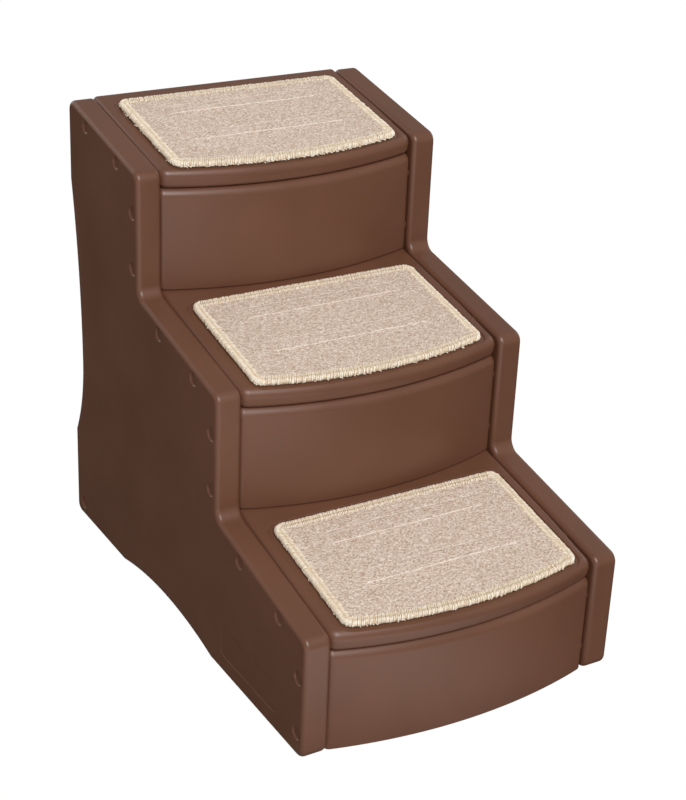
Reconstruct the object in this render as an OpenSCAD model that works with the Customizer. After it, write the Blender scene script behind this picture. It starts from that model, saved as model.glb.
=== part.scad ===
// Three-step pet stairs: two moulded side panels, treads, risers and a rear brace
// that plug together, with a carpet mat held in each tread by hook and loop tape.
// Millimetres, +Z up, +X to the right, the climb goes from -Y to +Y.
// The origin is on the floor, in the middle of the footprint.

/* [Stairs] */
// Width across both side panels
overall_w = 412; // [380:1:440]
// Run of each step along the floor
step_run = 208; // [200:1:220]
// Rise from one nose to the next
step_rise = 194.5; // [188:0.5:204]
// Height of the lowest nose above the foot of the side panels
first_rise = 149; // [146:1:158]
// Forward slope of the treads, in degrees
tread_tilt = 12.1; // [10:0.1:13]
// Radius of the bowed fronts, seen from above
bow_r = 660; // [600:10:900]
// How far the bowed fronts stand in front of the side panels
bow_proud = 17.5; // [14:0.5:20]

/* [Side panels] */
// Thickness of a side panel
panel_t = 32; // [30:0.5:36]
// Rounding of a panel's long edges
panel_edge_r = 6; // [4:0.5:7]
// Rounding of the outer corners of the outline
corner_r = 13; // [10:0.5:16]
// Rounding of the inner corners of the outline
inner_corner_r = 15; // [10:0.5:20]
// What a panel adds behind the three runs, at the foot
panel_tail = 1; // [0:0.5:6]
// How far the rear edge leans forward at the top
rear_lean = 5; // [0:0.5:10]
// Depth of the long hollow in the rear edge
rear_hollow_depth = 26; // [15:1:30]
// Height of the arch under the foot
foot_arch_h = 15; // [10:0.5:20]
// Length of the arch under the foot
foot_arch_len = 250; // [220:1:280]

/* [Treads] */
// Thickness of a tread
tread_t = 23.5; // [21:0.5:26]
// Rounding of the top of the nose
nose_top_r = 11; // [8:0.5:12]
// Rounding of the other edges of a tread
tread_edge_r = 6; // [4:0.5:7]
// How far the top of a tread lies below the edge of the side panels
tread_drop = 1.5; // [0.5:0.5:4]
// Depth of the seat moulded for the mat
seat_depth = 2; // [1:0.5:3]
// Width of the rim of the seat around the mat
seat_clear = 6; // [3:0.5:8]

/* [Risers] */
// Thickness of a riser
riser_t = 16; // [14:0.5:18]
// Rounding of the upper front edge of a riser
riser_top_r = 10; // [6:0.5:12]
// Rounding of the other edges of a riser
riser_edge_r = 3; // [2:0.5:4]
// Width of the solid end that carries the pegs
riser_end_w = 26; // [22:1:34]

/* [Rear brace] */
// Front-to-back depth of the brace
brace_d = 26; // [22:1:30]
// Height of the brace
brace_h = 28; // [24:1:30]
// Rounding of the edges of the brace
brace_edge_r = 6; // [4:0.5:8]
// Height of the middle of the brace above the foot
brace_z = 20; // [19:0.5:26]
// Distance of the middle of the brace from the rear of the foot
brace_inset = 24; // [22:0.5:32]

/* [Pegs] */
// Radius of the pegs of the treads
tread_peg_r = 8; // [6:0.25:9]
// Radius of the pegs of the risers
riser_peg_r = 6; // [5:0.25:6.5]
// Length of a peg beyond the end that carries it
peg_len = 18; // [14:0.5:20]
// Depth of the snap groove and height of the snap bead
bead_h = 0.8; // [0.5:0.1:1.2]
// Width of the snap bead
bead_w = 4; // [3:0.5:5]
// Clearance around a peg and beyond its tip
peg_clear = 0.3; // [0.2:0.05:0.5]
// Radius of the shallow dimple outside each socket
dimple_r = 9.5; // [8:0.5:11]
// Depth of the dimple
dimple_depth = 2; // [1:0.25:3]
// Distance of the front peg of a tread from the nose, along the tread
tread_peg_front = 57.5; // [50:0.5:65]
// Distance of the rear peg of a tread from the nose
tread_peg_rear = 150.5; // [140:0.5:160]
// Drop of the upper peg of a riser below its nose
riser_peg_high = 50; // [45:0.5:56]
// Drop of the lower peg of a riser below its nose
riser_peg_low = 119.5; // [108:0.5:122]

/* [Mats] */
// Width of a mat
mat_w = 308; // [280:1:314]
// Distance of the mat's rear edge from the nose, along the tread
mat_rear = 178.5; // [165:0.5:184]
// Distance of the mat's front from the front of the nose, in the middle
mat_set_back = 11; // [9:0.5:16]
// Thickness of a mat with its pile
mat_t = 7; // [6:0.5:8]
// Rounding of the mat's corners
mat_corner_r = 13; // [8:0.5:20]
// Taper of the mat's bound edge
mat_edge = 2; // [1:0.5:3]
// Gap between the mat and the floor of its seat
mat_gap = 0.3; // [0.2:0.05:0.4]

/* [Hook and loop tapes] */
// Length of a tape
tape_l = 204; // [160:1:230]
// Width of a tape
tape_w = 20; // [16:1:25]
// Thickness of the hook tape on the tread
hook_t = 1.8; // [1.5:0.1:2]
// Thickness of the loop tape sewn under the mat
loop_t = 1.6; // [1.2:0.1:1.8]
// Distance of the middle of the front tape from the nose
tape_front = 66.5; // [55:0.5:75]
// Distance of the middle of the rear tape from the nose
tape_rear = 137; // [115:0.5:145]
// Room around the hook tape in the pocket of the mat
tape_clear = 0.8; // [0.5:0.1:1.5]

/* [Grip pads] */
// Length of a grip pad
pad_l = 70; // [50:1:90]
// Width of a grip pad
pad_w = 15; // [12:0.5:17]
// Depth of the pad's pocket in the foot of the panel
pad_sink = 2; // [1.5:0.25:3]
// How far a pad stands out of the foot
pad_stand = 1.5; // [1:0.25:2.5]
// Distance of the middle of the front pads from the front of the panel
pad_front = 62; // [55:1:90]
// Distance of the middle of the rear pads from the rear of the foot
pad_rear = 78; // [72:1:90]
// Room around a pad in its pocket
pad_clear = 0.25; // [0.1:0.05:0.4]

/* [Moulding] */
// Wall of the double-walled mouldings
wall = 3; // [2.5:0.25:3.5]
// Radius of the mouth of a tack-off cone
cone_mouth_r = 14; // [11:0.5:16]
// Radius of the floor of a tack-off cone
cone_floor_r = 6; // [4:0.5:8]

/* [Hidden] */

// Steps are numbered from the bottom
BOTTOM = 0;
MIDDLE = 1;
TOP = 2;
STEPS = [BOTTOM, MIDDLE, TOP];

plastic_colour = [0.36, 0.25, 0.20];
carpet_colour = [0.83, 0.76, 0.68];
hook_colour = [0.16, 0.12, 0.10];
loop_colour = [0.75, 0.69, 0.60];
rubber_colour = [0.10, 0.09, 0.09];

// Shares of the height at which the hollow of the rear edge starts, is deepest and ends
rear_hollow_shares = [0.215, 0.40, 0.82];
// Share of the depth at which the foot arch has its middle
foot_arch_share = 0.55;
// Places of the tack-off cones, as shares of a step's run
panel_cone_shares = [0.33, 0.72];
// Height of the lowest row of panel cones, as a share of the lowest nose
panel_cone_height_share = 0.58;
// Places of the cones under a tread, as shares of its width and of its depth
tread_cone_x_shares = [-0.36, -0.18, 0, 0.18, 0.36];
tread_cone_y_shares = [0.22, 0.5, 0.78];
// Places of the cones behind a riser, as shares of its width
riser_cone_shares = [-0.27, -0.09, 0.09, 0.27];
// Shares of a peg's length at which its bead has its middle and that its tip takes
bead_share = 0.55;
peg_tip_share = 0.2;
// Rounding of the edges of an inner corner, as a share of that of the other long edges
fillet_edge_share = 0.95;

cut = 1;                 // overrun of every cut
seam = 0.05;             // step left where a fillet runs out into a flat
bow_steps = 12;          // stretches of a bowed edge
ball_sides = 24;         // sides of the rounding of an edge
outline_sides = 32;      // sides of the rounding of an outline
bore_sides = 48;

slope = tan(tread_tilt);
half_in = overall_w / 2 - panel_t;      // half the clear width between the panels
panel_d = len(STEPS) * step_run + panel_tail;
front_y = (bow_proud - panel_d) / 2;    // front plane of the panels
foot_z = pad_stand;                     // foot line of the panels
panel_top_h = first_rise + TOP * step_rise + slope * (panel_d - rear_lean - TOP * step_run);

// The bow centre lies behind the nose line by this much
bow_centre = bow_r - bow_proud;
// Front of the riser's ends, behind the nose line
riser_end_front = bow_centre - sqrt(bow_r * bow_r - half_in * half_in);
riser_back = riser_end_front + riser_t;
riser_peg_y = riser_end_front + riser_t / 2;

// The nose of the tilted tread reaches as far forward as the riser's front
nose_lead = (bow_proud + nose_top_r * cos(tread_tilt)
    + (tread_drop + nose_top_r) * sin(tread_tilt) - nose_top_r) / cos(tread_tilt);
tread_bow_centre = bow_r - nose_lead;
tread_mid = tread_drop + tread_t / 2;
tread_reach = (step_run + riser_back + wall) / cos(tread_tilt);
top_tread_reach = (panel_d - rear_lean - TOP * step_run - tread_drop) / cos(tread_tilt);

seat_floor = tread_drop + seat_depth;
mat_front = mat_set_back - nose_lead;   // front of the mat in the middle, from the nose line
mat_floor = seat_floor - mat_gap;
hook_top = hook_t - seat_floor;
loop_floor = hook_top + mat_gap;
loop_top = loop_floor + loop_t;

socket_depth = peg_len + peg_clear;
tip_len = peg_len * peg_tip_share;      // tapered tip of a peg
bead_at = peg_len * bead_share;         // middle of the bead, from the root of the peg
brace_peg_r = (tread_peg_r + riser_peg_r) / 2;

function nose_y(i) = front_y + i * step_run;
function nose_z(i) = foot_z + first_rise + i * step_rise;
// Height of the plane that lies drop below the panels' edges at step i, above point y
function slope_z(i, y, drop) = nose_z(i) + slope * (y - nose_y(i)) - drop / cos(tread_tilt);
// Widest angle of a bowed edge of radius r that still ends inside the clear width
function bow_angle(r, inset) = asin((half_in - inset) / r);
function bow_angles(top) = [for (n = [0 : bow_steps]) top * (2 * n / bow_steps - 1)];
function tread_end(i) = i == TOP ? top_tread_reach : tread_reach;

// Places of the pegs of every piece, as [y, z, peg radius]
tread_pegs = [
    for (i = STEPS) for (v = [tread_peg_front, tread_peg_rear])
        [nose_y(i) + v * cos(tread_tilt) + tread_mid * sin(tread_tilt),
         nose_z(i) + v * sin(tread_tilt) - tread_mid * cos(tread_tilt), tread_peg_r]
];
riser_pegs = [
    for (i = STEPS) for (drop = [riser_peg_high, riser_peg_low])
        [nose_y(i) + riser_peg_y, nose_z(i) - drop, riser_peg_r]
];
brace_y = front_y + panel_d - brace_inset;
brace_pegs = [[brace_y, foot_z + brace_z, brace_peg_r]];
sockets = concat(tread_pegs, riser_pegs, brace_pegs);

// The frame of a tread: its Y runs up the slope from the nose, its Z is square to the tread
module on_tread(i) {
    translate([0, nose_y(i), nose_z(i)]) rotate([tread_tilt, 0, 0]) children();
}

// Lays a side view drawn as [y, z] across the width, growing towards +X
module side_view() {
    rotate([90, 0, 90]) children();
}

// A ball whose poles and equator lie exactly at its radius
module ball(r) {
    rotate_extrude($fn = ball_sides)
        intersection() {
            circle(r = r, $fn = ball_sides);
            translate([0, -r]) square([r, 2 * r]);
        }
}

// A peg that grows towards +X from the face at x = 0, with its root sunk into the carrier
module peg(r) {
    rotate([0, 90, 0]) rotate_extrude($fn = bore_sides) polygon([
        [0, -wall], [r, -wall],
        [r, bead_at - bead_w / 2], [r + bead_h, bead_at], [r, bead_at + bead_w / 2],
        [r, peg_len - tip_len], [r - tip_len / 2, peg_len], [0, peg_len]
    ]);
}

// The bore and snap groove that take a peg, growing towards +X from the face at x = 0
module socket(r) {
    bore = r + peg_clear;
    rotate([0, 90, 0]) {
        translate([0, 0, -cut]) cylinder(h = cut + socket_depth, r = bore, $fn = bore_sides);
        translate([0, 0, bead_at - bead_w / 2])
            cylinder(h = bead_w, r = bore + bead_h, $fn = bore_sides);
    }
}

module pegs_both_ends(places) {
    for (p = places) for (side = [0, 1])
        mirror([side, 0, 0]) translate([half_in, p[0], p[1]]) peg(p[2]);
}

// A tack-off cone that sinks towards +Z from the face at z = 0
module tack_off(depth, mouth = cone_mouth_r) {
    flare = (mouth - cone_floor_r) / depth;
    translate([0, 0, -cut])
        cylinder(h = depth + cut, r1 = mouth + flare * cut, r2 = cone_floor_r, $fn = bore_sides);
}

// A disc of the panel's thickness with a rounded rim, growing towards +Z from z = 0
module rim_disc(r) {
    e = panel_edge_r;
    rotate_extrude($fn = outline_sides) {
        square([r - e, panel_t]);
        translate([0, e]) square([r, panel_t - 2 * e]);
        for (h = [e, panel_t - e]) translate([r - e, h])
            intersection() {
                circle(r = e, $fn = ball_sides);
                translate([0, -e]) square([e, 2 * e]);
            }
    }
}

// What a hollow of radius r removes from a panel: it flares at both faces, which rounds the edges
module spool(r, e = panel_edge_r) {
    rotate_extrude($fn = 4 * bore_sides) difference() {
        translate([0, -cut]) square([r + e, panel_t + 2 * cut]);
        translate([r, e]) square([e + cut, panel_t - 2 * e]);
        for (h = [e, panel_t - e]) translate([r + e, h]) circle(r = e, $fn = bore_sides);
    }
}

// One step of a panel in side view; the lower ones end inside the step behind them
module panel_column(i) {
    c = corner_r;
    front = i * step_run;
    top = first_rise + i * step_rise;
    foot_end = i == TOP ? panel_d - c : front + step_run + 2 * c;
    head_end = i == TOP ? foot_end - rear_lean : foot_end;
    hull() {
        for (y = [front + c, foot_end]) translate([y, c]) rim_disc(c);
        for (y = [front + c, head_end])
            translate([y, top + slope * (y - front) - c / cos(tread_tilt)]) rim_disc(c);
    }
}

// The rounded inner corner between the top of step i and the front of the step behind it
module panel_fillet(i) {
    r = inner_corner_r;
    sunk = r + panel_edge_r;
    y = (i + 1) * step_run - r;
    z = first_rise + i * step_rise + slope * (y - i * step_run) + r / cos(tread_tilt);
    foot = [y + sunk * sin(tread_tilt), z - sunk * cos(tread_tilt)];
    difference() {
        linear_extrude(panel_t) polygon([[y + sunk, foot[1]], [y + sunk, z], [y, z], foot]);
        translate([y, z]) spool(r - seam, panel_edge_r * fillet_edge_share);
    }
}

// A low arch cut up into the foot
module foot_arch() {
    half = foot_arch_len / 2;
    r = (half * half + foot_arch_h * foot_arch_h) / (2 * foot_arch_h);
    translate([foot_arch_share * panel_d, foot_arch_h - r]) spool(r);
}

// A long hollow in the rear edge, of a short arc below and a long arc above its deepest point
module rear_hollow() {
    heights = rear_hollow_shares * panel_top_h;
    edge_y = panel_d - rear_lean * rear_hollow_shares[1];
    for (up = [0, 1]) {
        run = up == 1 ? heights[2] - heights[1] : heights[1] - heights[0];
        r = (run * run + rear_hollow_depth * rear_hollow_depth) / (2 * rear_hollow_depth);
        intersection() {
            translate([edge_y - rear_hollow_depth + r, heights[1]]) spool(r);
            translate([edge_y - 2 * rear_hollow_depth, heights[1] - (1 - up) * 2 * run, -2 * cut])
                cube([4 * rear_hollow_depth, 2 * run, panel_t + 4 * cut]);
        }
    }
}

// A panel without its sockets, drawn as [y from its front, z from its foot] and growing across
module panel_blank() {
    difference() {
        union() {
            for (i = STEPS) panel_column(i);
            for (i = [BOTTOM, MIDDLE]) panel_fillet(i);
        }
        foot_arch();
        rear_hollow();
    }
}

module pad_plan(room = 0) {
    half = (pad_l - pad_w) / 2;
    for (s = [-1, 1]) translate([0, s * half]) circle(d = pad_w + 2 * room, $fn = bore_sides);
    square([pad_w + 2 * room, 2 * half], center = true);
}

function pad_y(front) = front ? front_y + pad_front : front_y + panel_d - pad_rear;

// The left panel: outer face at -X, sockets in its inner face, dimples outside them
module side_panel() {
    inner = -half_in;
    dish_r = (dimple_r * dimple_r + dimple_depth * dimple_depth) / (2 * dimple_depth);
    difference() {
        translate([-overall_w / 2, front_y, foot_z]) side_view() panel_blank();
        for (p = sockets) {
            translate([inner, p[0], p[1]]) mirror([1, 0, 0]) socket(p[2]);
            translate([-overall_w / 2 - dish_r + dimple_depth, p[0], p[1]])
                sphere(r = dish_r, $fn = 2 * bore_sides);
        }
        for (i = STEPS) for (s = panel_cone_shares) for (j = [0 : i])
            translate([inner, front_y + (i + s) * step_run,
                       foot_z + first_rise * panel_cone_height_share + j * step_rise])
                rotate([0, -90, 0]) tack_off(panel_t - 2 * wall);
        for (front = [true, false])
            translate([-overall_w / 2 + panel_t / 2, pad_y(front), foot_z - cut])
                linear_extrude(pad_sink + cut) pad_plan(pad_clear);
    }
}

// A square of the given size whose corners at +X are rounded, the lower by r and the upper by r_up
module rounded_side(size, r, r_up) {
    difference() {
        square(size);
        translate([size[0] - r, 0]) square([r + cut, r]);
        translate([size[0] - r_up, size[1] - r_up]) square([r_up + cut, r_up + cut]);
    }
    translate([size[0] - r, r]) circle(r = r, $fn = bore_sides);
    translate([size[0] - r_up, size[1] - r_up]) circle(r = r_up, $fn = bore_sides);
}

// What rounds a front corner of a tread in plan: a wedge outside the corner's own circle
module corner_waste() {
    r = nose_top_r;
    a = bow_angle(bow_r - r, r);
    translate([half_in - r, tread_bow_centre - (bow_r - r) * cos(a)]) difference() {
        polygon([[0, 0], [2 * r, 0], [2 * r, -2 * r], 2 * r * [sin(a), -cos(a)]]);
        circle(r = r, $fn = bore_sides);
    }
}

// The rounded board of a tread in its own frame, from the bowed nose back to the reach
module tread_board(reach) {
    low = -tread_drop - tread_t;
    front = 2 * nose_lead;
    intersection() {
        translate([0, tread_bow_centre, low]) rotate_extrude($fn = 8 * bore_sides)
            rounded_side([bow_r, tread_t], tread_edge_r, nose_top_r);
        translate([0, reach, low]) rotate([90, 0, 0]) linear_extrude(front + reach)
            for (side = [0, 1]) mirror([side, 0])
                rounded_side([half_in, tread_t], tread_edge_r, tread_edge_r);
        translate([-half_in - cut, -front, low]) side_view() linear_extrude(2 * (half_in + cut))
            rounded_side([front + reach, tread_t], tread_edge_r, tread_edge_r);
        translate([0, 0, low - cut]) linear_extrude(tread_t + 2 * cut) difference() {
            translate([-half_in - cut, -front]) square([2 * (half_in + cut), front + reach + cut]);
            for (side = [0, 1]) mirror([side, 0]) corner_waste();
        }
    }
}

// Plan of a mat grown by room: bowed front, straight sides and rear, rounded corners
module mat_plan(room = 0) {
    corner = mat_corner_r + room;
    half = mat_w / 2 + room;
    ring = bow_r - mat_set_back + room - corner;
    widest = asin((half - corner) / ring);
    hull() {
        for (n = [0 : bow_steps])
            translate([ring * sin(widest * (2 * n / bow_steps - 1)),
                       tread_bow_centre - ring * cos(widest * (2 * n / bow_steps - 1))])
                circle(r = corner, $fn = outline_sides);
        for (s = [-1, 1])
            translate([s * (half - corner), mat_rear + room - corner])
                circle(r = corner, $fn = outline_sides);
    }
}

module tread(i) {
    reach = tread_end(i);
    color(plastic_colour) {
        on_tread(i) difference() {
            tread_board(reach);
            translate([0, 0, -seat_floor]) linear_extrude(seat_floor + cut) mat_plan(seat_clear);
            for (x = tread_cone_x_shares) for (y = tread_cone_y_shares)
                translate([x * 2 * half_in, y * tread_end(TOP), -tread_drop - tread_t])
                    tack_off(tread_t - seat_depth - 2 * wall);
        }
        pegs_both_ends([for (n = [2 * i, 2 * i + 1]) tread_pegs[n]]);
    }
}

// Height of the riser's foot above point y: the floor line, or the tread that it stands on
function riser_foot_z(i, y) = i == BOTTOM ? foot_z : slope_z(i - 1, y, tread_drop);
function riser_head_z(i, y) = slope_z(i, y, tread_drop + tread_t);
// Height from a level or sloping plane at which a ball of radius r touches it
function lift(r, level) = level ? r : r / cos(tread_tilt);

module riser_rim(i, r, head) {
    ring = bow_r - r;
    for (a = bow_angles(bow_angle(ring, r))) {
        y = nose_y(i) + bow_centre - ring * cos(a);
        z = head ? riser_head_z(i, y) - lift(r, false) : riser_foot_z(i, y) + lift(r, i == BOTTOM);
        translate([ring * sin(a), y, z]) ball(r);
    }
}

module riser(i) {
    back = nose_y(i) + riser_back;
    r = riser_edge_r;
    color(plastic_colour) {
        difference() {
            hull() {
                riser_rim(i, riser_top_r, true);
                riser_rim(i, riser_edge_r, false);
                for (s = [-1, 1]) {
                    y = back - r;
                    translate([s * (half_in - r), y, riser_head_z(i, y) - lift(r, false)]) ball(r);
                    translate([s * (half_in - r), y, riser_foot_z(i, y) + lift(r, i == BOTTOM)]) ball(r);
                }
            }
            intersection() {
                translate([0, nose_y(i) + bow_centre, foot_z - cut])
                    cylinder(h = panel_top_h, r = bow_r - riser_t, $fn = 4 * bore_sides);
                translate([riser_end_w - half_in, nose_y(i) - bow_proud, foot_z - 2 * cut])
                    cube([2 * (half_in - riser_end_w), bow_proud + riser_back + cut, panel_top_h]);
            }
            for (s = riser_cone_shares) {
                x = s * 2 * half_in;
                y = nose_y(i) + bow_centre - sqrt(pow(bow_r - riser_t, 2) - x * x);
                translate([x, y, nose_z(i) - (riser_peg_high + riser_peg_low) / 2])
                    rotate([90, 0, 0]) tack_off(riser_t - 2 * wall, cone_mouth_r - wall);
            }
        }
        pegs_both_ends([for (n = [2 * i, 2 * i + 1]) riser_pegs[n]]);
    }
}

module rear_brace() {
    r = brace_edge_r;
    color(plastic_colour) {
        hull()
            for (x = [-1, 1]) for (y = [-1, 1]) for (z = [-1, 1])
                translate([x * (half_in - r), brace_y + y * (brace_d / 2 - r),
                           foot_z + brace_z + z * (brace_h / 2 - r)]) ball(r);
        pegs_both_ends(brace_pegs);
    }
}

module tape_box(v, low, high, room = 0) {
    translate([-tape_l / 2 - room, v - tape_w / 2 - room, low])
        cube([tape_l + 2 * room, tape_w + 2 * room, high - low]);
}

// A bound carpet mat with a pocket under it for each pair of tapes
module mat(i) {
    color(carpet_colour) on_tread(i) difference() {
        translate([0, 0, -mat_floor]) hull() {
            linear_extrude(mat_t - mat_edge) mat_plan();
            linear_extrude(mat_t) mat_plan(-mat_edge);
        }
        for (v = [tape_front, tape_rear]) tape_box(v, -mat_floor - cut, loop_top, tape_clear);
    }
}

module hook_tape(i, v) {
    color(hook_colour) on_tread(i) tape_box(v, -seat_floor, hook_top);
}

module loop_tape(i, v) {
    color(loop_colour) on_tread(i) tape_box(v, loop_floor, loop_top);
}

module grip_pad(side, front) {
    color(rubber_colour)
        translate([side * (overall_w - panel_t) / 2, pad_y(front), foot_z - pad_stand])
            linear_extrude(pad_stand + pad_sink) pad_plan();
}

module left_side_panel() {
    color(plastic_colour) side_panel();
}

module right_side_panel() {
    color(plastic_colour) mirror([1, 0, 0]) side_panel();
}

left_side_panel();
right_side_panel();
tread(TOP);  // top_tread
tread(MIDDLE);  // middle_tread
tread(BOTTOM);  // bottom_tread
riser(TOP);  // top_riser
riser(MIDDLE);  // middle_riser
riser(BOTTOM);  // bottom_riser
rear_brace();
mat(TOP);  // top_mat
mat(MIDDLE);  // middle_mat
mat(BOTTOM);  // bottom_mat
hook_tape(TOP, tape_front);  // top_front_hook_tape
hook_tape(TOP, tape_rear);  // top_rear_hook_tape
hook_tape(MIDDLE, tape_front);  // middle_front_hook_tape
hook_tape(MIDDLE, tape_rear);  // middle_rear_hook_tape
hook_tape(BOTTOM, tape_front);  // bottom_front_hook_tape
hook_tape(BOTTOM, tape_rear);  // bottom_rear_hook_tape
loop_tape(TOP, tape_front);  // top_front_loop_tape
loop_tape(TOP, tape_rear);  // top_rear_loop_tape
loop_tape(MIDDLE, tape_front);  // middle_front_loop_tape
loop_tape(MIDDLE, tape_rear);  // middle_rear_loop_tape
loop_tape(BOTTOM, tape_front);  // bottom_front_loop_tape
loop_tape(BOTTOM, tape_rear);  // bottom_rear_loop_tape
grip_pad(-1, true);  // left_front_grip_pad
grip_pad(-1, false);  // left_rear_grip_pad
grip_pad(1, true);  // right_front_grip_pad
grip_pad(1, false);  // right_rear_grip_pad
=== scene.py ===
"""Dresses the pet stairs: smooth moulded boards, bound carpet mats, tapes, floor, lights and camera."""

import logging
import math
import random
from abc import ABC, abstractmethod
from collections.abc import Callable, Iterable, Mapping, Sequence
from dataclasses import dataclass
from enum import Enum
from functools import lru_cache

import bmesh
import bpy
from bmesh.types import BMEdge, BMesh, BMVert
from bpy.types import ID, Material, Mesh, Node, NodeSocket, NodeTree, Object, World
from mathutils import Matrix, Vector, geometry, noise


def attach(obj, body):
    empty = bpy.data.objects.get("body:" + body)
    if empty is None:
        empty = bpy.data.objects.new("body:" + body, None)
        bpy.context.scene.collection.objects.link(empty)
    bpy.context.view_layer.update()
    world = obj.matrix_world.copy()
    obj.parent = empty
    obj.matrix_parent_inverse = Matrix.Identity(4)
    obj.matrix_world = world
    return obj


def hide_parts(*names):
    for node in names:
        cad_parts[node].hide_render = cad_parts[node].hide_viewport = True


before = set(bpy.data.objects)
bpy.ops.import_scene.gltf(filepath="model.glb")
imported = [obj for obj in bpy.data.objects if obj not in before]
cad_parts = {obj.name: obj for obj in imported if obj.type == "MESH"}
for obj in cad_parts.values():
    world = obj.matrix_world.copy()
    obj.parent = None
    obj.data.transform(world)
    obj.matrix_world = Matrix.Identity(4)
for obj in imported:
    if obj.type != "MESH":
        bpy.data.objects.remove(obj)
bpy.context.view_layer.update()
LOG = logging.getLogger("pet_stairs")

Point = tuple[float, float]
Triple = tuple[float, float, float]
Quad = tuple[float, float, float, float]
Colour = Triple
YarnPath = list[tuple[Vector, float]]

BODY = "stairs"
PAINTED_SHADE = "valley"
WHITE = (1.0, 1.0, 1.0, 1.0)
DEGREE = math.pi / 180.0
QUARTER = math.pi / 2

# Lengths in metres: within which places are the same, within which an edge stands on a corner,
# the cells of the edging's grid, and how far a cutting body stands out of the face that it cuts.
TINY = 1e-6
NEAR = 1e-5
TENTH = 1e-4
POKE = 0.001

# Angles above which an edge stays sharp, on boards and on yarn. How much of an upright edge's
# direction is along Z at least. How much large faces rule the normals, in per cent.
SHARP_ANGLE = 32.0 * DEGREE
SOFT_ANGLE = 80.0 * DEGREE
UPRIGHT = 0.5
FLAT_WEIGHT = 80

# Stretches of bows, arches, full turns and rounded corners and edges.
BOW_STEPS = 40
BACK_STEPS = 32
ARCH_STEPS = 24
END_STEPS = 16
LATHE_STEPS = 32
DIMPLE_STEPS = 40
CORNER_STEPS = 8
NOSE_STEPS = 7
EDGE_STEPS = 6


class Named(Enum):
    """A choice whose name is part of the names of pieces."""

    @property
    def label(self) -> str:
        """The choice as it stands in the names of pieces."""
        return self.name.lower()


class Step(Named):
    """The three steps, numbered from the bottom."""

    BOTTOM = 0
    MIDDLE = 1
    TOP = 2

    @property
    def mat(self) -> str:
        """Name of the step's mat, as a solid and as a body."""
        return f"{self.label}_mat"


class Side(Named):
    """The two sides, as the sign of X."""

    LEFT = -1
    RIGHT = 1


class End(Named):
    """The two ends of a mat, each with its pair of tapes, as the sign of Y."""

    FRONT = -1
    REAR = 1


class TapeKind(Named):
    """The two tapes of a pair: hooks on the tread and loops on the mat."""

    HOOK = 0
    LOOP = 1


class Slot(Enum):
    """Names of the record's material slots; the pieces are handed one, but settle does not give it to them.
    """

    PLASTIC = "moulded_plastic"
    CARPET = "carpet"
    HOOK = "hook_tape"
    LOOP = "loop_tape"


class Carve(Enum):
    """What a second body does to a board."""

    CUT = "DIFFERENCE"
    JOIN = "UNION"


# ---- sizes

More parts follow.
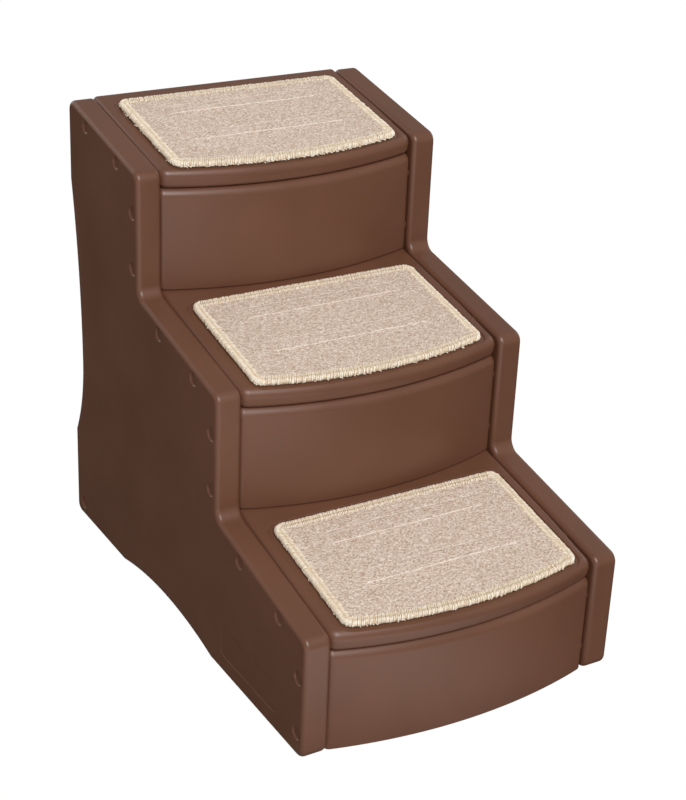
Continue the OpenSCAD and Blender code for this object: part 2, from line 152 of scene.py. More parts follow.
@dataclass(frozen=True)
class StairSizes:
    """Sizes of the stairs in metres, the same as those of the solids."""

    width: float = 0.412
    run: float = 0.208
    rise: float = 0.1945
    first_rise: float = 0.149
    tilt: float = 12.1 * DEGREE
    bow_radius: float = 0.660
    bow_proud: float = 0.0175
    foot: float = 0.0015
    panel_thickness: float = 0.032
    panel_edge: float = 0.006
    corner: float = 0.013
    inner_corner: float = 0.015
    panel_tail: float = 0.001
    rear_lean: float = 0.005
    hollow_depth: float = 0.026
    arch_height: float = 0.015
    arch_length: float = 0.250
    tread_thickness: float = 0.0235
    nose_round: float = 0.011
    tread_edge: float = 0.006
    tread_drop: float = 0.0015
    seat_depth: float = 0.002
    seat_clear: float = 0.006
    riser_thickness: float = 0.016
    riser_edge: float = 0.003
    riser_end: float = 0.026
    wall: float = 0.003
    peg_length: float = 0.018
    peg_tip_share: float = 0.2
    bead_share: float = 0.55
    peg_clear: float = 0.0003
    bead: float = 0.0008
    bead_width: float = 0.004
    tread_peg: float = 0.008
    riser_peg: float = 0.006
    tread_peg_places: Point = (0.0575, 0.1505)
    riser_peg_drops: Point = (0.050, 0.1195)
    brace_peg_place: Point = (0.024, 0.020)
    pad_places: Point = (0.062, 0.078)
    mat_width: float = 0.308
    mat_rear: float = 0.1785
    mat_set_back: float = 0.011
    mat_corner: float = 0.013
    mat_gap: float = 0.0003
    tape_length: float = 0.204
    tape_width: float = 0.020
    tape_front: float = 0.0665
    tape_rear: float = 0.137
    hook_thickness: float = 0.0018
    loop_thickness: float = 0.0016

    @property
    def half_in(self) -> float:
        """Half the clear width between the panels."""
        return self.width / 2 - self.panel_thickness

    @property
    def slope(self) -> float:
        """Rise of a tread over its run."""
        return math.tan(self.tilt)

    @property
    def depth(self) -> float:
        """Depth of a panel at its foot."""
        return 3 * self.run + self.panel_tail

    @property
    def front(self) -> float:
        """Y of the panels' front plane."""
        return (self.bow_proud - self.depth) / 2

    @property
    def panel_top(self) -> float:
        """Height of the panel's highest corner above its foot."""
        return self.first_rise + 2 * self.rise + self.slope * (self.depth - self.rear_lean - 2 * self.run)

    @property
    def bow_centre(self) -> float:
        """Distance of the risers' bow centre behind the nose line."""
        return self.bow_radius - self.bow_proud

    @property
    def riser_front(self) -> float:
        """Distance of the front of a riser's ends behind the nose line."""
        return self.bow_centre - math.sqrt(self.bow_radius ** 2 - self.half_in ** 2)

    @property
    def riser_back(self) -> float:
        """Distance of a riser's flat back behind the nose line."""
        return self.riser_front + self.riser_thickness

    @property
    def nose_lead(self) -> float:
        """How far a tread's nose reaches in front of the nose line, along the tread.

        Returns:
            The distance.
        """
        c, s = math.cos(self.tilt), math.sin(self.tilt)
        reach = self.bow_proud + self.nose_round * c + (self.tread_drop + self.nose_round) * s
        return (reach - self.nose_round) / c

    @property
    def tread_bow(self) -> float:
        """Distance of a tread's bow centre behind the nose line, along the tread."""
        return self.bow_radius - self.nose_lead

    @property
    def seat_floor(self) -> float:
        """Depth of a seat's floor below the panels' edge."""
        return self.tread_drop + self.seat_depth

    @property
    def mat_floor(self) -> float:
        """Depth of a mat's underside below the panels' edge."""
        return self.seat_floor - self.mat_gap

    @property
    def pair_top(self) -> float:
        """Height of the top of a pair of tapes, in a tread's frame."""
        return self.hook_thickness - self.seat_floor + self.mat_gap + self.loop_thickness

    @property
    def brace_peg(self) -> float:
        """Radius of the brace's pegs."""
        return (self.tread_peg + self.riser_peg) / 2

    @property
    def peg_tip(self) -> float:
        """Length of a peg's tip beyond its straight part."""
        return self.peg_length * self.peg_tip_share

    @property
    def bead_at(self) -> float:
        """Distance of a peg's bead from the board's end."""
        return self.peg_length * self.bead_share

    def tape_middle(self, end: End) -> float:
        """Distance of a tape's middle behind the nose line."""
        return self.tape_front if end is End.FRONT else self.tape_rear

    def nose_y(self, step: Step) -> float:
        """Y of a step's nose line."""
        return self.front + step.value * self.run

    def nose_z(self, step: Step) -> float:
        """Z of a step's nose line."""
        return self.foot + self.first_rise + step.value * self.rise

    def tread_end(self, step: Step) -> float:
        """Distance of a tread's rear end from the nose line, along the tread.

        Args:
            step: The tread's step.

        Returns:
            The distance.
        """
        if step is Step.TOP:
            return (self.depth - self.rear_lean - 2 * self.run - self.tread_drop) / math.cos(self.tilt)
        return (self.run + self.riser_back + self.wall) / math.cos(self.tilt)

    def on_tread(self, step: Step) -> Matrix:
        """The frame of a tread: its Y runs up the slope from the nose and its Z is square to it."""
        place = Matrix.Translation((0.0, self.nose_y(step), self.nose_z(step)))
        return place @ Matrix.Rotation(self.tilt, 4, "X")

    def tread_pegs(self, step: Step) -> list[Triple]:
        """Places of a tread's pegs.

        Args:
            step: The tread's step.

        Returns:
            Each peg as (y, z, radius).
        """
        middle = self.tread_drop + self.tread_thickness / 2
        spots = [self.on_tread(step) @ Vector((0.0, v, -middle)) for v in self.tread_peg_places]
        return [(spot.y, spot.z, self.tread_peg) for spot in spots]

    def riser_pegs(self, step: Step) -> list[Triple]:
        """Places of a riser's pegs as (y, z, radius)."""
        y = self.nose_y(step) + self.riser_back - self.riser_thickness / 2
        return [(y, self.nose_z(step) - drop, self.riser_peg) for drop in self.riser_peg_drops]

    def brace_pegs(self) -> list[Triple]:
        """Place of the rear brace's pegs as (y, z, radius)."""
        inward, up = self.brace_peg_place
        return [(self.front + self.depth - inward, self.foot + up, self.brace_peg)]

    def all_pegs(self) -> list[Triple]:
        """Places of all pegs on one side as (y, z, radius)."""
        places = [spot for step in Step for spot in self.tread_pegs(step) + self.riser_pegs(step)]
        return places + self.brace_pegs()


SIZES = StairSizes()


# ---- mesh tools

@dataclass(frozen=True)
class Corner:
    """A corner of an outline that gets rounded.

    Args:
        at: Place of the corner in the outline's plane.
        radius: Radius of the rounding.
        turn: Angle by which the outline turns there.
    """

    at: Point
    radius: float
    turn: float = QUARTER

    @property
    def setback(self) -> float:
        """Distance from the corner to where the rounding starts."""
        return self.radius * math.tan(self.turn / 2)


class Outline:
    """A closed flat outline, drawn line by line and arc by arc."""

    def __init__(self) -> None:
        """Starts an empty outline."""
        self.mesh = bmesh.new()
        self.first: BMVert | None = None
        self.last: BMVert | None = None

    def to(self, x: float, y: float) -> "Outline":
        """Draws a straight line to a point.

        Args:
            x: First coordinate.
            y: Second coordinate.

        Returns:
            The outline itself.
        """
        vert = self.mesh.verts.new((x, y, 0.0))
        if self.last is None:
            self.first = vert
        else:
            self.mesh.edges.new((self.last, vert))
        self.last = vert
        return self

    def arc(self, centre: Point, angle: float, steps: int) -> "Outline":
        """Draws an arc from the last point.

        Args:
            centre: Centre of the arc.
            angle: Angle turned, positive to the left.
            steps: Stretches of the arc.

        Returns:
            The outline itself.
        """
        swept = bmesh.ops.spin(
            self.mesh, geom=[self.last], cent=(centre[0], centre[1], 0.0), axis=(0.0, 0.0, 1.0),
            dvec=(0.0, 0.0, 0.0), angle=angle, steps=steps, use_duplicate=False)
        self.last = next(item for item in swept["geom_last"] if isinstance(item, BMVert))
        return self

    def close(self) -> "Outline":
        """Draws the last stretch back to the first point.

        Returns:
            The outline itself.
        """
        if (self.last.co - self.first.co).length > TINY:
            self.mesh.edges.new((self.last, self.first))
        bmesh.ops.remove_doubles(self.mesh, verts=self.mesh.verts[:], dist=TINY)
        return self

    def board(self, low: float, high: float) -> BMesh:
        """Fills the outline and raises it into a board.

        Args:
            low: Height of the underside.
            high: Height of the top.

        Returns:
            The board's mesh.
        """
        mesh = self.close().mesh
        plate = bmesh.ops.edgeloop_fill(mesh, edges=mesh.edges[:])["faces"]
        shift(mesh, mesh.verts[:], (0.0, 0.0, low))
        raised = bmesh.ops.extrude_face_region(mesh, geom=plate)["geom"]
        shift(mesh, verts_of(raised), (0.0, 0.0, high - low))
        bmesh.ops.recalc_face_normals(mesh, faces=mesh.faces[:])
        return mesh


def verts_of(geom: Iterable[object]) -> list[BMVert]:
    """The vertices among mesh elements."""
    return [item for item in geom if isinstance(item, BMVert)]


def edges_of(geom: Iterable[object]) -> list[BMEdge]:
    """The edges among mesh elements."""
    return [item for item in geom if isinstance(item, BMEdge)]


def unit(value: float) -> float:
    """The value held between 0 and 1."""
    return min(1.0, max(0.0, value))


def heading(angle: float) -> Vector:
    """The flat direction at an angle from X."""
    return Vector((math.cos(angle), math.sin(angle)))


def shift(mesh: BMesh, verts: list[BMVert], by: Sequence[float]) -> None:
    """Moves some vertices of a mesh."""
    bmesh.ops.translate(mesh, verts=verts, vec=by)


def place(mesh: BMesh, matrix: Matrix) -> BMesh:
    """Moves a whole mesh and turns it right side out again where the move mirrors it.

    Args:
        mesh: The mesh.
        matrix: Where it goes.

    Returns:
        The same mesh.
    """
    bmesh.ops.transform(mesh, matrix=matrix, verts=mesh.verts[:])
    if matrix.determinant() < 0:
        bmesh.ops.reverse_faces(mesh, faces=mesh.faces[:])
    return mesh


def add_to(target: BMesh, part: BMesh) -> None:
    """Adds a part to a mesh and frees the part.

    Args:
        target: The mesh that grows.
        part: What is added.
    """
    data = bpy.data.meshes.new("part")
    part.to_mesh(data)
    part.free()
    target.from_mesh(data)
    bpy.data.meshes.remove(data)


def joined(parts: Iterable[BMesh]) -> BMesh:
    """Makes one mesh of several.

    Args:
        parts: The meshes, which are freed.

    Returns:
        The mesh of them all.
    """
    mesh = bmesh.new()
    for part in parts:
        add_to(mesh, part)
    return mesh


def loft(rings: Iterable[tuple[Outline, float]], ring_shaped: bool = False) -> BMesh:
    """Bridges outlines of the same number of points, each at its own height.

    Args:
        rings: The outlines and their heights.
        ring_shaped: Joins the last outline to the first in place of filling both.

    Returns:
        The closed mesh.
    """
    mesh = bmesh.new()
    loops: list[list[BMEdge]] = []
    for outline, level in rings:
        before = len(mesh.edges)
        part = outline.close().mesh
        shift(part, part.verts[:], (0.0, 0.0, level))
        add_to(mesh, part)
        mesh.edges.ensure_lookup_table()
        loops.append(mesh.edges[before:])
    follows = loops[1:] + (loops[:1] if ring_shaped else [])
    for one, other in zip(loops, follows):
        bmesh.ops.bridge_loops(mesh, edges=one + other)
    if not ring_shaped:
        for end in (loops[0], loops[-1]):
            bmesh.ops.edgeloop_fill(mesh, edges=end)
    bmesh.ops.recalc_face_normals(mesh, faces=mesh.faces[:])
    return mesh


def lathe(profile: Sequence[Point], sides: int = LATHE_STEPS) -> BMesh:
    """Turns a profile of (radius, height) points about Z into a closed body.

    Args:
        profile: The points, from the axis back to the axis.
        sides: Stretches of the full turn.

    Returns:
        The closed mesh.
    """
    mesh = bmesh.new()
    verts = [mesh.verts.new((radius, 0.0, height)) for radius, height in profile]
    edges = [mesh.edges.new(pair) for pair in zip(verts, verts[1:])]
    bmesh.ops.spin(
        mesh, geom=[*verts, *edges], cent=(0.0, 0.0, 0.0), axis=(0.0, 0.0, 1.0),
        dvec=(0.0, 0.0, 0.0), angle=math.tau, steps=sides, use_merge=True, use_duplicate=False)
    bmesh.ops.remove_doubles(mesh, verts=mesh.verts[:], dist=TINY)
    bmesh.ops.recalc_face_normals(mesh, faces=mesh.faces[:])
    return mesh


def bevel(mesh: BMesh, edges: list[BMEdge], width: float, segments: int) -> None:
    """Rounds edges of a mesh.

    Args:
        mesh: The mesh.
        edges: The edges to round.
        width: Distance from each edge to where its rounding starts.
        segments: Stretches of the rounding.
    """
    bmesh.ops.bevel(
        mesh, geom=edges, offset=width, offset_type="OFFSET", affect="EDGES", segments=segments,
        profile=0.5, material=-1, clamp_overlap=False, loop_slide=True)


def round_corners(mesh: BMesh, corners: Iterable[Corner], segments: int = CORNER_STEPS) -> None:
    """Rounds the upright edges of a board that stand on the given corners.

    Args:
        mesh: A board raised along Z.
        corners: The corners to round.
        segments: Stretches of each rounding.
    """
    for corner in corners:
        spot = Vector(corner.at)
        upright = [edge for edge in mesh.edges
                   if all((vert.co.xy - spot).length < NEAR for vert in edge.verts)]
        bevel(mesh, upright, corner.setback, segments)


def linked(name: str, data: ID) -> Object:
    """Makes an object and links it to the scene.

    Args:
        name: Name of the object.
        data: Its mesh, curve, lamp or camera.

    Returns:
        The object.
    """
    made = bpy.data.objects.new(name, data)
    bpy.context.scene.collection.objects.link(made)
    return made


def made_object(mesh: BMesh | Mesh, name: str) -> Object:
    """Makes an object of the scene, at the origin, from a mesh.

    Args:
        mesh: The mesh, freed if it is a bmesh.
        name: Name of the object.

    Returns:
        The object.
    """
    if isinstance(mesh, BMesh):
        data = bpy.data.meshes.new(name)
        mesh.to_mesh(data)
        mesh.free()
    else:
        data = mesh
    return linked(name, data)


def bake_modifiers(piece: Object) -> None:
    """Applies all modifiers of a piece to its mesh.

    Args:
        piece: The piece.
    """
    graph = bpy.context.evaluated_depsgraph_get()
    old = piece.data
    piece.data = bpy.data.meshes.new_from_object(piece.evaluated_get(graph))
    piece.modifiers.clear()
    bpy.data.meshes.remove(old)


def carve(piece: Object, tool: BMesh, how: Carve) -> None:
    """Cuts a body out of a piece or joins it to the piece.

    Args:
        piece: The piece that changes.
        tool: The body, which is freed.
        how: Whether it is cut out or joined.
    """
    body = made_object(tool, "carving_tool")
    step = piece.modifiers.new("carve", "BOOLEAN")
    step.operation = how.value
    step.solver = "EXACT"
    step.object = body
    bake_modifiers(piece)
    data = body.data
    bpy.data.objects.remove(body)
    bpy.data.meshes.remove(data)


def weighted_round(
        piece: Object, width: float, segments: int,
        share: Callable[[Vector, Vector], float]) -> None:
    """Rounds edges by their own shares of one width.

    Args:
        piece: The piece whose edges are rounded.
        width: The full width.
        segments: Stretches of the rounding.
        share: Gives an edge's share from its middle and its direction.
    """
    mesh = bmesh.new()
    mesh.from_mesh(piece.data)
    layer = mesh.edges.layers.float.new("bevel_weight_edge")
    for edge in mesh.edges:
        start, end = (vert.co for vert in edge.verts)
        edge[layer] = share((start + end) / 2, (end - start).normalized())
    mesh.to_mesh(piece.data)
    mesh.free()
    step = piece.modifiers.new("round", "BEVEL")
    step.width = width
    step.segments = segments
    step.limit_method = "WEIGHT"
    step.use_clamp_overlap = False
    bake_modifiers(piece)


def smooth(piece: Object, sharp: float = SHARP_ANGLE, weighted: bool = True) -> None:
    """Shades a piece smooth, with its real edges kept sharp.

    Args:
        piece: The piece.
        sharp: Angle above which an edge stays sharp.
        weighted: Lets large faces rule the normals, which keeps flats flat.
    """
    piece.data.shade_smooth()
    piece.data.set_sharp_from_angle(angle=sharp)
    if weighted:
        step = piece.modifiers.new("flats", "WEIGHTED_NORMAL")
        step.keep_sharp = True
        step.weight = FLAT_WEIGHT


def settle(piece: Object, body: str, slot: Slot, finish: "Finish", *nodes: str) -> Object:
    """Gives a finished piece its finish and its body, and hides the solids that it stands for.

    Args:
        piece: The piece.
        body: Body that it rides on.
        slot: Not used.
        finish: Its finish.
        nodes: Solids that it stands for.

    Returns:
        The piece.
    """
    piece.data.materials.clear()
    piece.data.materials.append(finish.material())
    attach(piece, body)
    if nodes:
        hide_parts(*nodes)
    LOG.info("%s: %d faces, rides on %s", piece.name, len(piece.data.polygons), body)
    return piece


# ---- boards

def peg_body(radius: float, sizes: StairSizes) -> BMesh:
    """A snap peg that grows towards +Z, with its root sunk into its carrier.

    Args:
        radius: Radius of the peg.
        sizes: Sizes of the stairs.

    Returns:
        The peg's body.
    """
    tip, at, half = sizes.peg_tip, sizes.bead_at, sizes.bead_width / 2
    return lathe([
        (0.0, -sizes.wall), (radius, -sizes.wall), (radius, at - half), (radius + sizes.bead, at),
        (radius, at + half), (radius, sizes.peg_length - tip),
        (radius - tip / 2, sizes.peg_length), (0.0, sizes.peg_length)])


def socket_body(radius: float, sizes: StairSizes) -> BMesh:
    """The bore and snap groove that take a peg, growing towards +Z from just below the face.

    Args:
        radius: Radius of the peg.
        sizes: Sizes of the stairs.

    Returns:
        The bore's body.
    """
    bore, at, half = radius + sizes.peg_clear, sizes.bead_at, sizes.bead_width / 2
    deep = sizes.peg_length + sizes.peg_clear
    return lathe([
        (0.0, -POKE), (bore, -POKE), (bore, at - half), (bore + sizes.bead, at - half),
        (bore + sizes.bead, at + half), (bore, at + half), (bore, deep), (0.0, deep)])


def cone_body(mouth: float, floor: float, depth: float, soft: float = 0.001) -> BMesh:
    """A tack-off cone that sinks towards +Z from the face at z = 0.

    Args:
        mouth: Radius at the face.
        floor: Radius at the bottom.
        depth: Depth of the cone.
        soft: By how much its mouth and floor are softened.

    Returns:
        The cone's body.
    """
    rim = mouth + 2 * soft
    return lathe([
        (0.0, -2 * POKE), (rim, -2 * POKE), (rim, -soft / 10), (mouth + soft / 2, soft / 3),
        (mouth - soft / 2, soft * 1.5), (floor + soft, depth - soft), (floor - soft, depth), (0.0, depth)])


def upright_to(axis: str, sign: int = 1) -> Matrix:
    """Turns +Z to the given axis, or to its opposite."""
    target = Vector((float(axis == "X"), float(axis == "Y"), float(axis == "Z"))) * sign
    return target.to_track_quat("Z", "Y").to_matrix().to_4x4()


@dataclass
class Board(ABC):
    """A moulded board: a rounded blank from which hollows are cut and to which pegs are added.

    A tack-off cone is (radius at the face, radius at the bottom).
    """

    sizes: StairSizes = SIZES
    cone: Point = (0.014, 0.006)

    @property
    @abstractmethod
    def name(self) -> str:
        """Name of the solid that the board stands for."""

    @property
    def piece_name(self) -> str:
        """Name of the finished piece."""
        return f"{self.name}_moulding"

    @abstractmethod
    def blank(self) -> Object:
        """Makes the rounded board."""

    def hollows(self) -> BMesh:
        """What is cut out of the board, nothing by default."""
        return bmesh.new()

    def peg_places(self) -> list[Triple]:
        """Places of the pegs at each end as (y, z, radius), none by default."""
        return []

    def pegs(self) -> BMesh:
        """Makes the pegs at both ends of the board.

        Returns:
            One mesh of them all.
        """
        parts = []
        for y, z, radius in self.peg_places():
            for side in Side:
                root = Matrix.Translation((side.value * self.sizes.half_in, y, z))
                parts.append(place(peg_body(radius, self.sizes), root @ upright_to("X", side.value)))
        return joined(parts)

    def build(self) -> Object:
        """Makes the finished board.

        Returns:
            The board's object.
        """
        piece = self.blank()
        for tool, how in ((self.hollows(), Carve.CUT), (self.pegs(), Carve.JOIN)):
            if tool.faces:
                carve(piece, tool, how)
        smooth(piece)
        return settle(piece, BODY, Slot.PLASTIC, PLASTIC, self.name)


@dataclass
class SidePanel(Board):
    """A side panel: a stair-shaped board with a foot arch, a hollow rear edge, dimples and sockets.

    In its own plane X runs back from its front and Y up from its foot, and Z runs from its
    outer to its inner face. The plate is (front, rear, low, high), and each of its rims is
    (growth, depth). The dimple's points are (radius, depth).
    """

    side: Side = Side.LEFT
    hollow_shares: Triple = (0.215, 0.40, 0.82)
    arch_share: float = 0.55
    dimple: tuple[Point, ...] = (
        (0.0, 0.0020), (0.0040, 0.0020), (0.0066, 0.00196), (0.0074, 0.0017), (0.0080, 0.0012),
        (0.0084, 0.0006), (0.0088, 0.0002), (0.0093, 0.0), (0.0098, -0.0001), (0.0098, -0.001),
        (0.0, -0.001))
    cone_shares: Point = (0.33, 0.72)
    cone_height_share: float = 0.58
    pad_size: Point = (0.0705, 0.0155)
    pad_sink: float = 0.002
    plate: Quad = (0.060, 0.192, 0.0235, 0.062)
    plate_corner: float = 0.008
    plate_rims: tuple[Point, ...] = ((-0.0007, 0.0006), (-0.0002, 0.0005), (0.0004, 0.0), (0.0004, -0.002))

    @property
    def name(self) -> str:
        """Name of the panel's solid."""
        return f"{self.side.label}_side_panel"

    @property
    def to_place(self) -> Matrix:
        """Takes the panel's own plane to its place.

        Returns:
            The matrix.
        """
        s, sign = self.sizes, self.side.value
        return Matrix((
            (0.0, 0.0, -float(sign), sign * s.width / 2),
            (1.0, 0.0, 0.0, s.front),
            (0.0, 1.0, 0.0, s.foot),
            (0.0, 0.0, 0.0, 1.0)))

    def rear_edge(self, height: float) -> float:
        """Distance of the leaning rear edge from the front at a height, before it is hollowed."""
        return self.sizes.depth - self.sizes.rear_lean * height / self.sizes.panel_top

    def outline(self) -> Outline:
        """Draws the side view, front foot first.

        Returns:
            The outline, with sharp corners.
        """
        s = self.sizes
        line = Outline().to(0.0, 0.0)
        middle, half = self.arch_share * s.depth, s.arch_length / 2
        radius = (half ** 2 + s.arch_height ** 2) / (2 * s.arch_height)
        line.to(middle - half, 0.0)
        line.arc((middle, s.arch_height - radius), -2 * math.asin(half / radius), ARCH_STEPS)
        line.to(s.depth, 0.0)
        low, deep, high = (share * s.panel_top for share in self.hollow_shares)
        floor = self.rear_edge(deep) - s.hollow_depth
        for start, run, steps in ((low, deep - low, ARCH_STEPS // 2), (deep, high - deep, ARCH_STEPS)):
            sink = self.rear_edge(low if start == low else high) - floor
            radius = (run ** 2 + sink ** 2) / (2 * sink)
            if start == low:
                line.to(self.rear_edge(low), low)
            line.arc((floor + radius, deep), -math.asin(run / radius), steps)
        line.to(s.depth - s.rear_lean, s.panel_top)
        for step in (Step.TOP, Step.MIDDLE):
            y, nose = step.value * s.run, s.first_rise + step.value * s.rise
            line.to(y, nose).to(y, nose - s.rise + s.slope * s.run)
        return line.to(0.0, s.first_rise)

    def corners(self) -> list[Corner]:
        """Lists the corners of the side view that get rounded.

        Returns:
            The corners.
        """
        s, lean = self.sizes, math.atan(self.sizes.rear_lean / self.sizes.panel_top)
        nose_turn = QUARTER - s.tilt
        found = [
            Corner((0.0, 0.0), s.corner),
            Corner((s.depth, 0.0), s.corner, QUARTER + lean),
            Corner((s.depth - s.rear_lean, s.panel_top), s.corner, QUARTER + s.tilt - lean)]
        for step in Step:
            y, nose = step.value * s.run, s.first_rise + step.value * s.rise
            found.append(Corner((y, nose), s.corner, nose_turn))
            if step is not Step.BOTTOM:
                found.append(Corner((y, nose - s.rise + s.slope * s.run), s.inner_corner, nose_turn))
        return found

    def blank(self) -> Object:
        """Makes the rounded board.

        Returns:
            The board's object.
        """
        s = self.sizes
        mesh = self.outline().board(0.0, s.panel_thickness)
        round_corners(mesh, self.corners())
        faces = sorted(mesh.faces, key=lambda face: face.calc_area())[-2:]
        bevel(mesh, list({edge for face in faces for edge in face.edges}), s.panel_edge, EDGE_STEPS)
        return made_object(place(mesh, self.to_place), self.piece_name)

    def plate_body(self) -> BMesh:
        """Makes the shallow bare plate that is sunk into the lower front of the outer face.

        Returns:
            The plate's body, in the panel's own plane.
        """
        front, rear, low, high = self.plate
        rings = []
        for grow, level in self.plate_rims:
            r, a, b, c, d = self.plate_corner + grow, front - grow, rear + grow, low - grow, high + grow
            ring = Outline().to(a + r, c).to(b - r, c).arc((b - r, c + r), QUARTER, EDGE_STEPS)
            ring.to(b, d - r).arc((b - r, d - r), QUARTER, EDGE_STEPS)
            ring.to(a + r, d).arc((a + r, d - r), QUARTER, EDGE_STEPS)
            ring.to(a, c + r).arc((a + r, c + r), QUARTER, EDGE_STEPS)
            rings.append((ring, level))
        return loft(rings)

    def hollows(self) -> BMesh:
        """Dimples outside, sockets and cones inside, and the pockets of the grip pads.

        Returns:
            One mesh of them all.
        """
        s, inner = self.sizes, self.sizes.panel_thickness
        parts = []
        for y, z, radius in s.all_pegs():
            spot = (y - s.front, z - s.foot)
            parts.append(place(lathe(self.dimple, DIMPLE_STEPS), Matrix.Translation((*spot, 0.0))))
            sunk = Matrix.Translation((*spot, inner)) @ upright_to("Z", -1)
            parts.append(place(socket_body(radius, s), sunk))
        for step in Step:
            for share in self.cone_shares:
                for row in range(step.value + 1):
                    up = s.first_rise * self.cone_height_share + row * s.rise
                    spot = Matrix.Translation(((step.value + share) * s.run, up, inner))
                    cone = cone_body(*self.cone, inner - 2 * s.wall)
                    parts.append(place(cone, spot @ upright_to("Z", -1)))
        for middle in (s.pad_places[0], s.depth - s.pad_places[1]):
            parts.append(self.pad_pocket(middle))
        if self.side is Side.LEFT:
            parts.append(self.plate_body())
        return place(joined(parts), self.to_place)

    def pad_pocket(self, middle: float) -> BMesh:
        """The pocket of a grip pad in the foot.

        Args:
            middle: Distance of the pad's middle from the panel's front.

        Returns:
            The pocket's body, in the panel's own plane.
        """
        length, width = self.pad_size
        r, half = width / 2, (length - width) / 2
        ring = Outline().to(half, -r).arc((half, 0.0), math.pi, END_STEPS)
        ring.to(-half, r).arc((-half, 0.0), math.pi, END_STEPS)
        upright = Matrix((
            (1, 0, 0, middle), (0, 0, 1, 0), (0, -1, 0, self.sizes.panel_thickness / 2), (0, 0, 0, 1)))
        return place(ring.board(-POKE, self.pad_sink), upright)


@dataclass(frozen=True)
class BowedPlan:
    """A plan with a bowed front, straight sides and a straight rear, whose corners are rounded.

    Args:
        radius: Radius of the bow.
        centre: Distance of the bow's centre behind the nose line.
        half: Half the width.
        rear: Distance of the rear behind the nose line.
        corner: Radius of the front corners.
        rear_corner: Radius of the rear corners.
    """

    radius: float
    centre: float
    half: float
    rear: float
    corner: float
    rear_corner: float

    @property
    def swing(self) -> float:
        """Half the angle of the bow between its front corners."""
        return math.asin((self.half - self.corner) / (self.radius - self.corner))

    @property
    def corner_y(self) -> float:
        """Distance of the front corners' centres behind the nose line."""
        return self.centre - (self.radius - self.corner) * math.cos(self.swing)

    def straight_rear(self, line: Outline, steps: int) -> None:
        """Draws the straight rear with its rounded corners.

        Args:
            line: The outline.
            steps: Stretches of each corner.
        """
        high, inner = self.rear - self.rear_corner, self.half - self.rear_corner
        line.to(self.half, high).arc((inner, high), QUARTER, steps)
        line.to(-inner, self.rear).arc((-inner, high), QUARTER, steps)

    def outline(
            self, marks: Sequence[float] = (), steps: int = 10,
            rear: Callable[[Outline, int], None] | None = None) -> Outline:
        """Draws the plan from the left end of the bow, counter-clockwise.

        Args:
            marks: Distances behind the front corners at which the sides get a point.
            steps: Stretches of each rounded corner.
            rear: Draws the rear, which is straight by default.

        Returns:
            The outline.
        """
        half, turn, swing, inner = self.half, QUARTER - self.swing, self.swing, self.half - self.corner
        line = Outline().to(-self.radius * math.sin(swing), self.centre - self.radius * math.cos(swing))
        line.arc((0.0, self.centre), 2 * swing, BOW_STEPS).arc((inner, self.corner_y), turn, steps)
        for mark in marks:
            line.to(half, self.corner_y + mark)
        (rear or self.straight_rear)(line, steps)
        for mark in reversed(marks):
            line.to(-half, self.corner_y + mark)
        return line.to(-half, self.corner_y).arc((-inner, self.corner_y), turn, steps)

    def inset(self, x: float, y: float) -> float:
        """Distance of a point inside the plan from the plan's edge.

        Args:
            x: Distance from the middle.
            y: Distance behind the nose line.

        Returns:
            The distance, negative outside.
        """
        side = self.half - abs(x)
        ends = (
            (self.rear - y, self.rear_corner), (self.radius - math.hypot(x, y - self.centre), self.corner))
        nearest = min(side, ends[0][0], ends[1][0])
        for end, corner in ends:
            if side < corner and end < corner:
                nearest = min(nearest, corner - math.hypot(corner - side, corner - end))
        return nearest


def mat_plan(room: float = 0.0, sizes: StairSizes = SIZES) -> BowedPlan:
    """The plan of a mat, in a tread's frame.

    Args:
        room: By how much the plan is grown.
        sizes: Sizes of the stairs.

    Returns:
        The plan.
    """
    corner = sizes.mat_corner + room
    return BowedPlan(
        sizes.bow_radius - sizes.mat_set_back + room, sizes.tread_bow, sizes.mat_width / 2 + room,
        sizes.mat_rear + room, corner, corner)


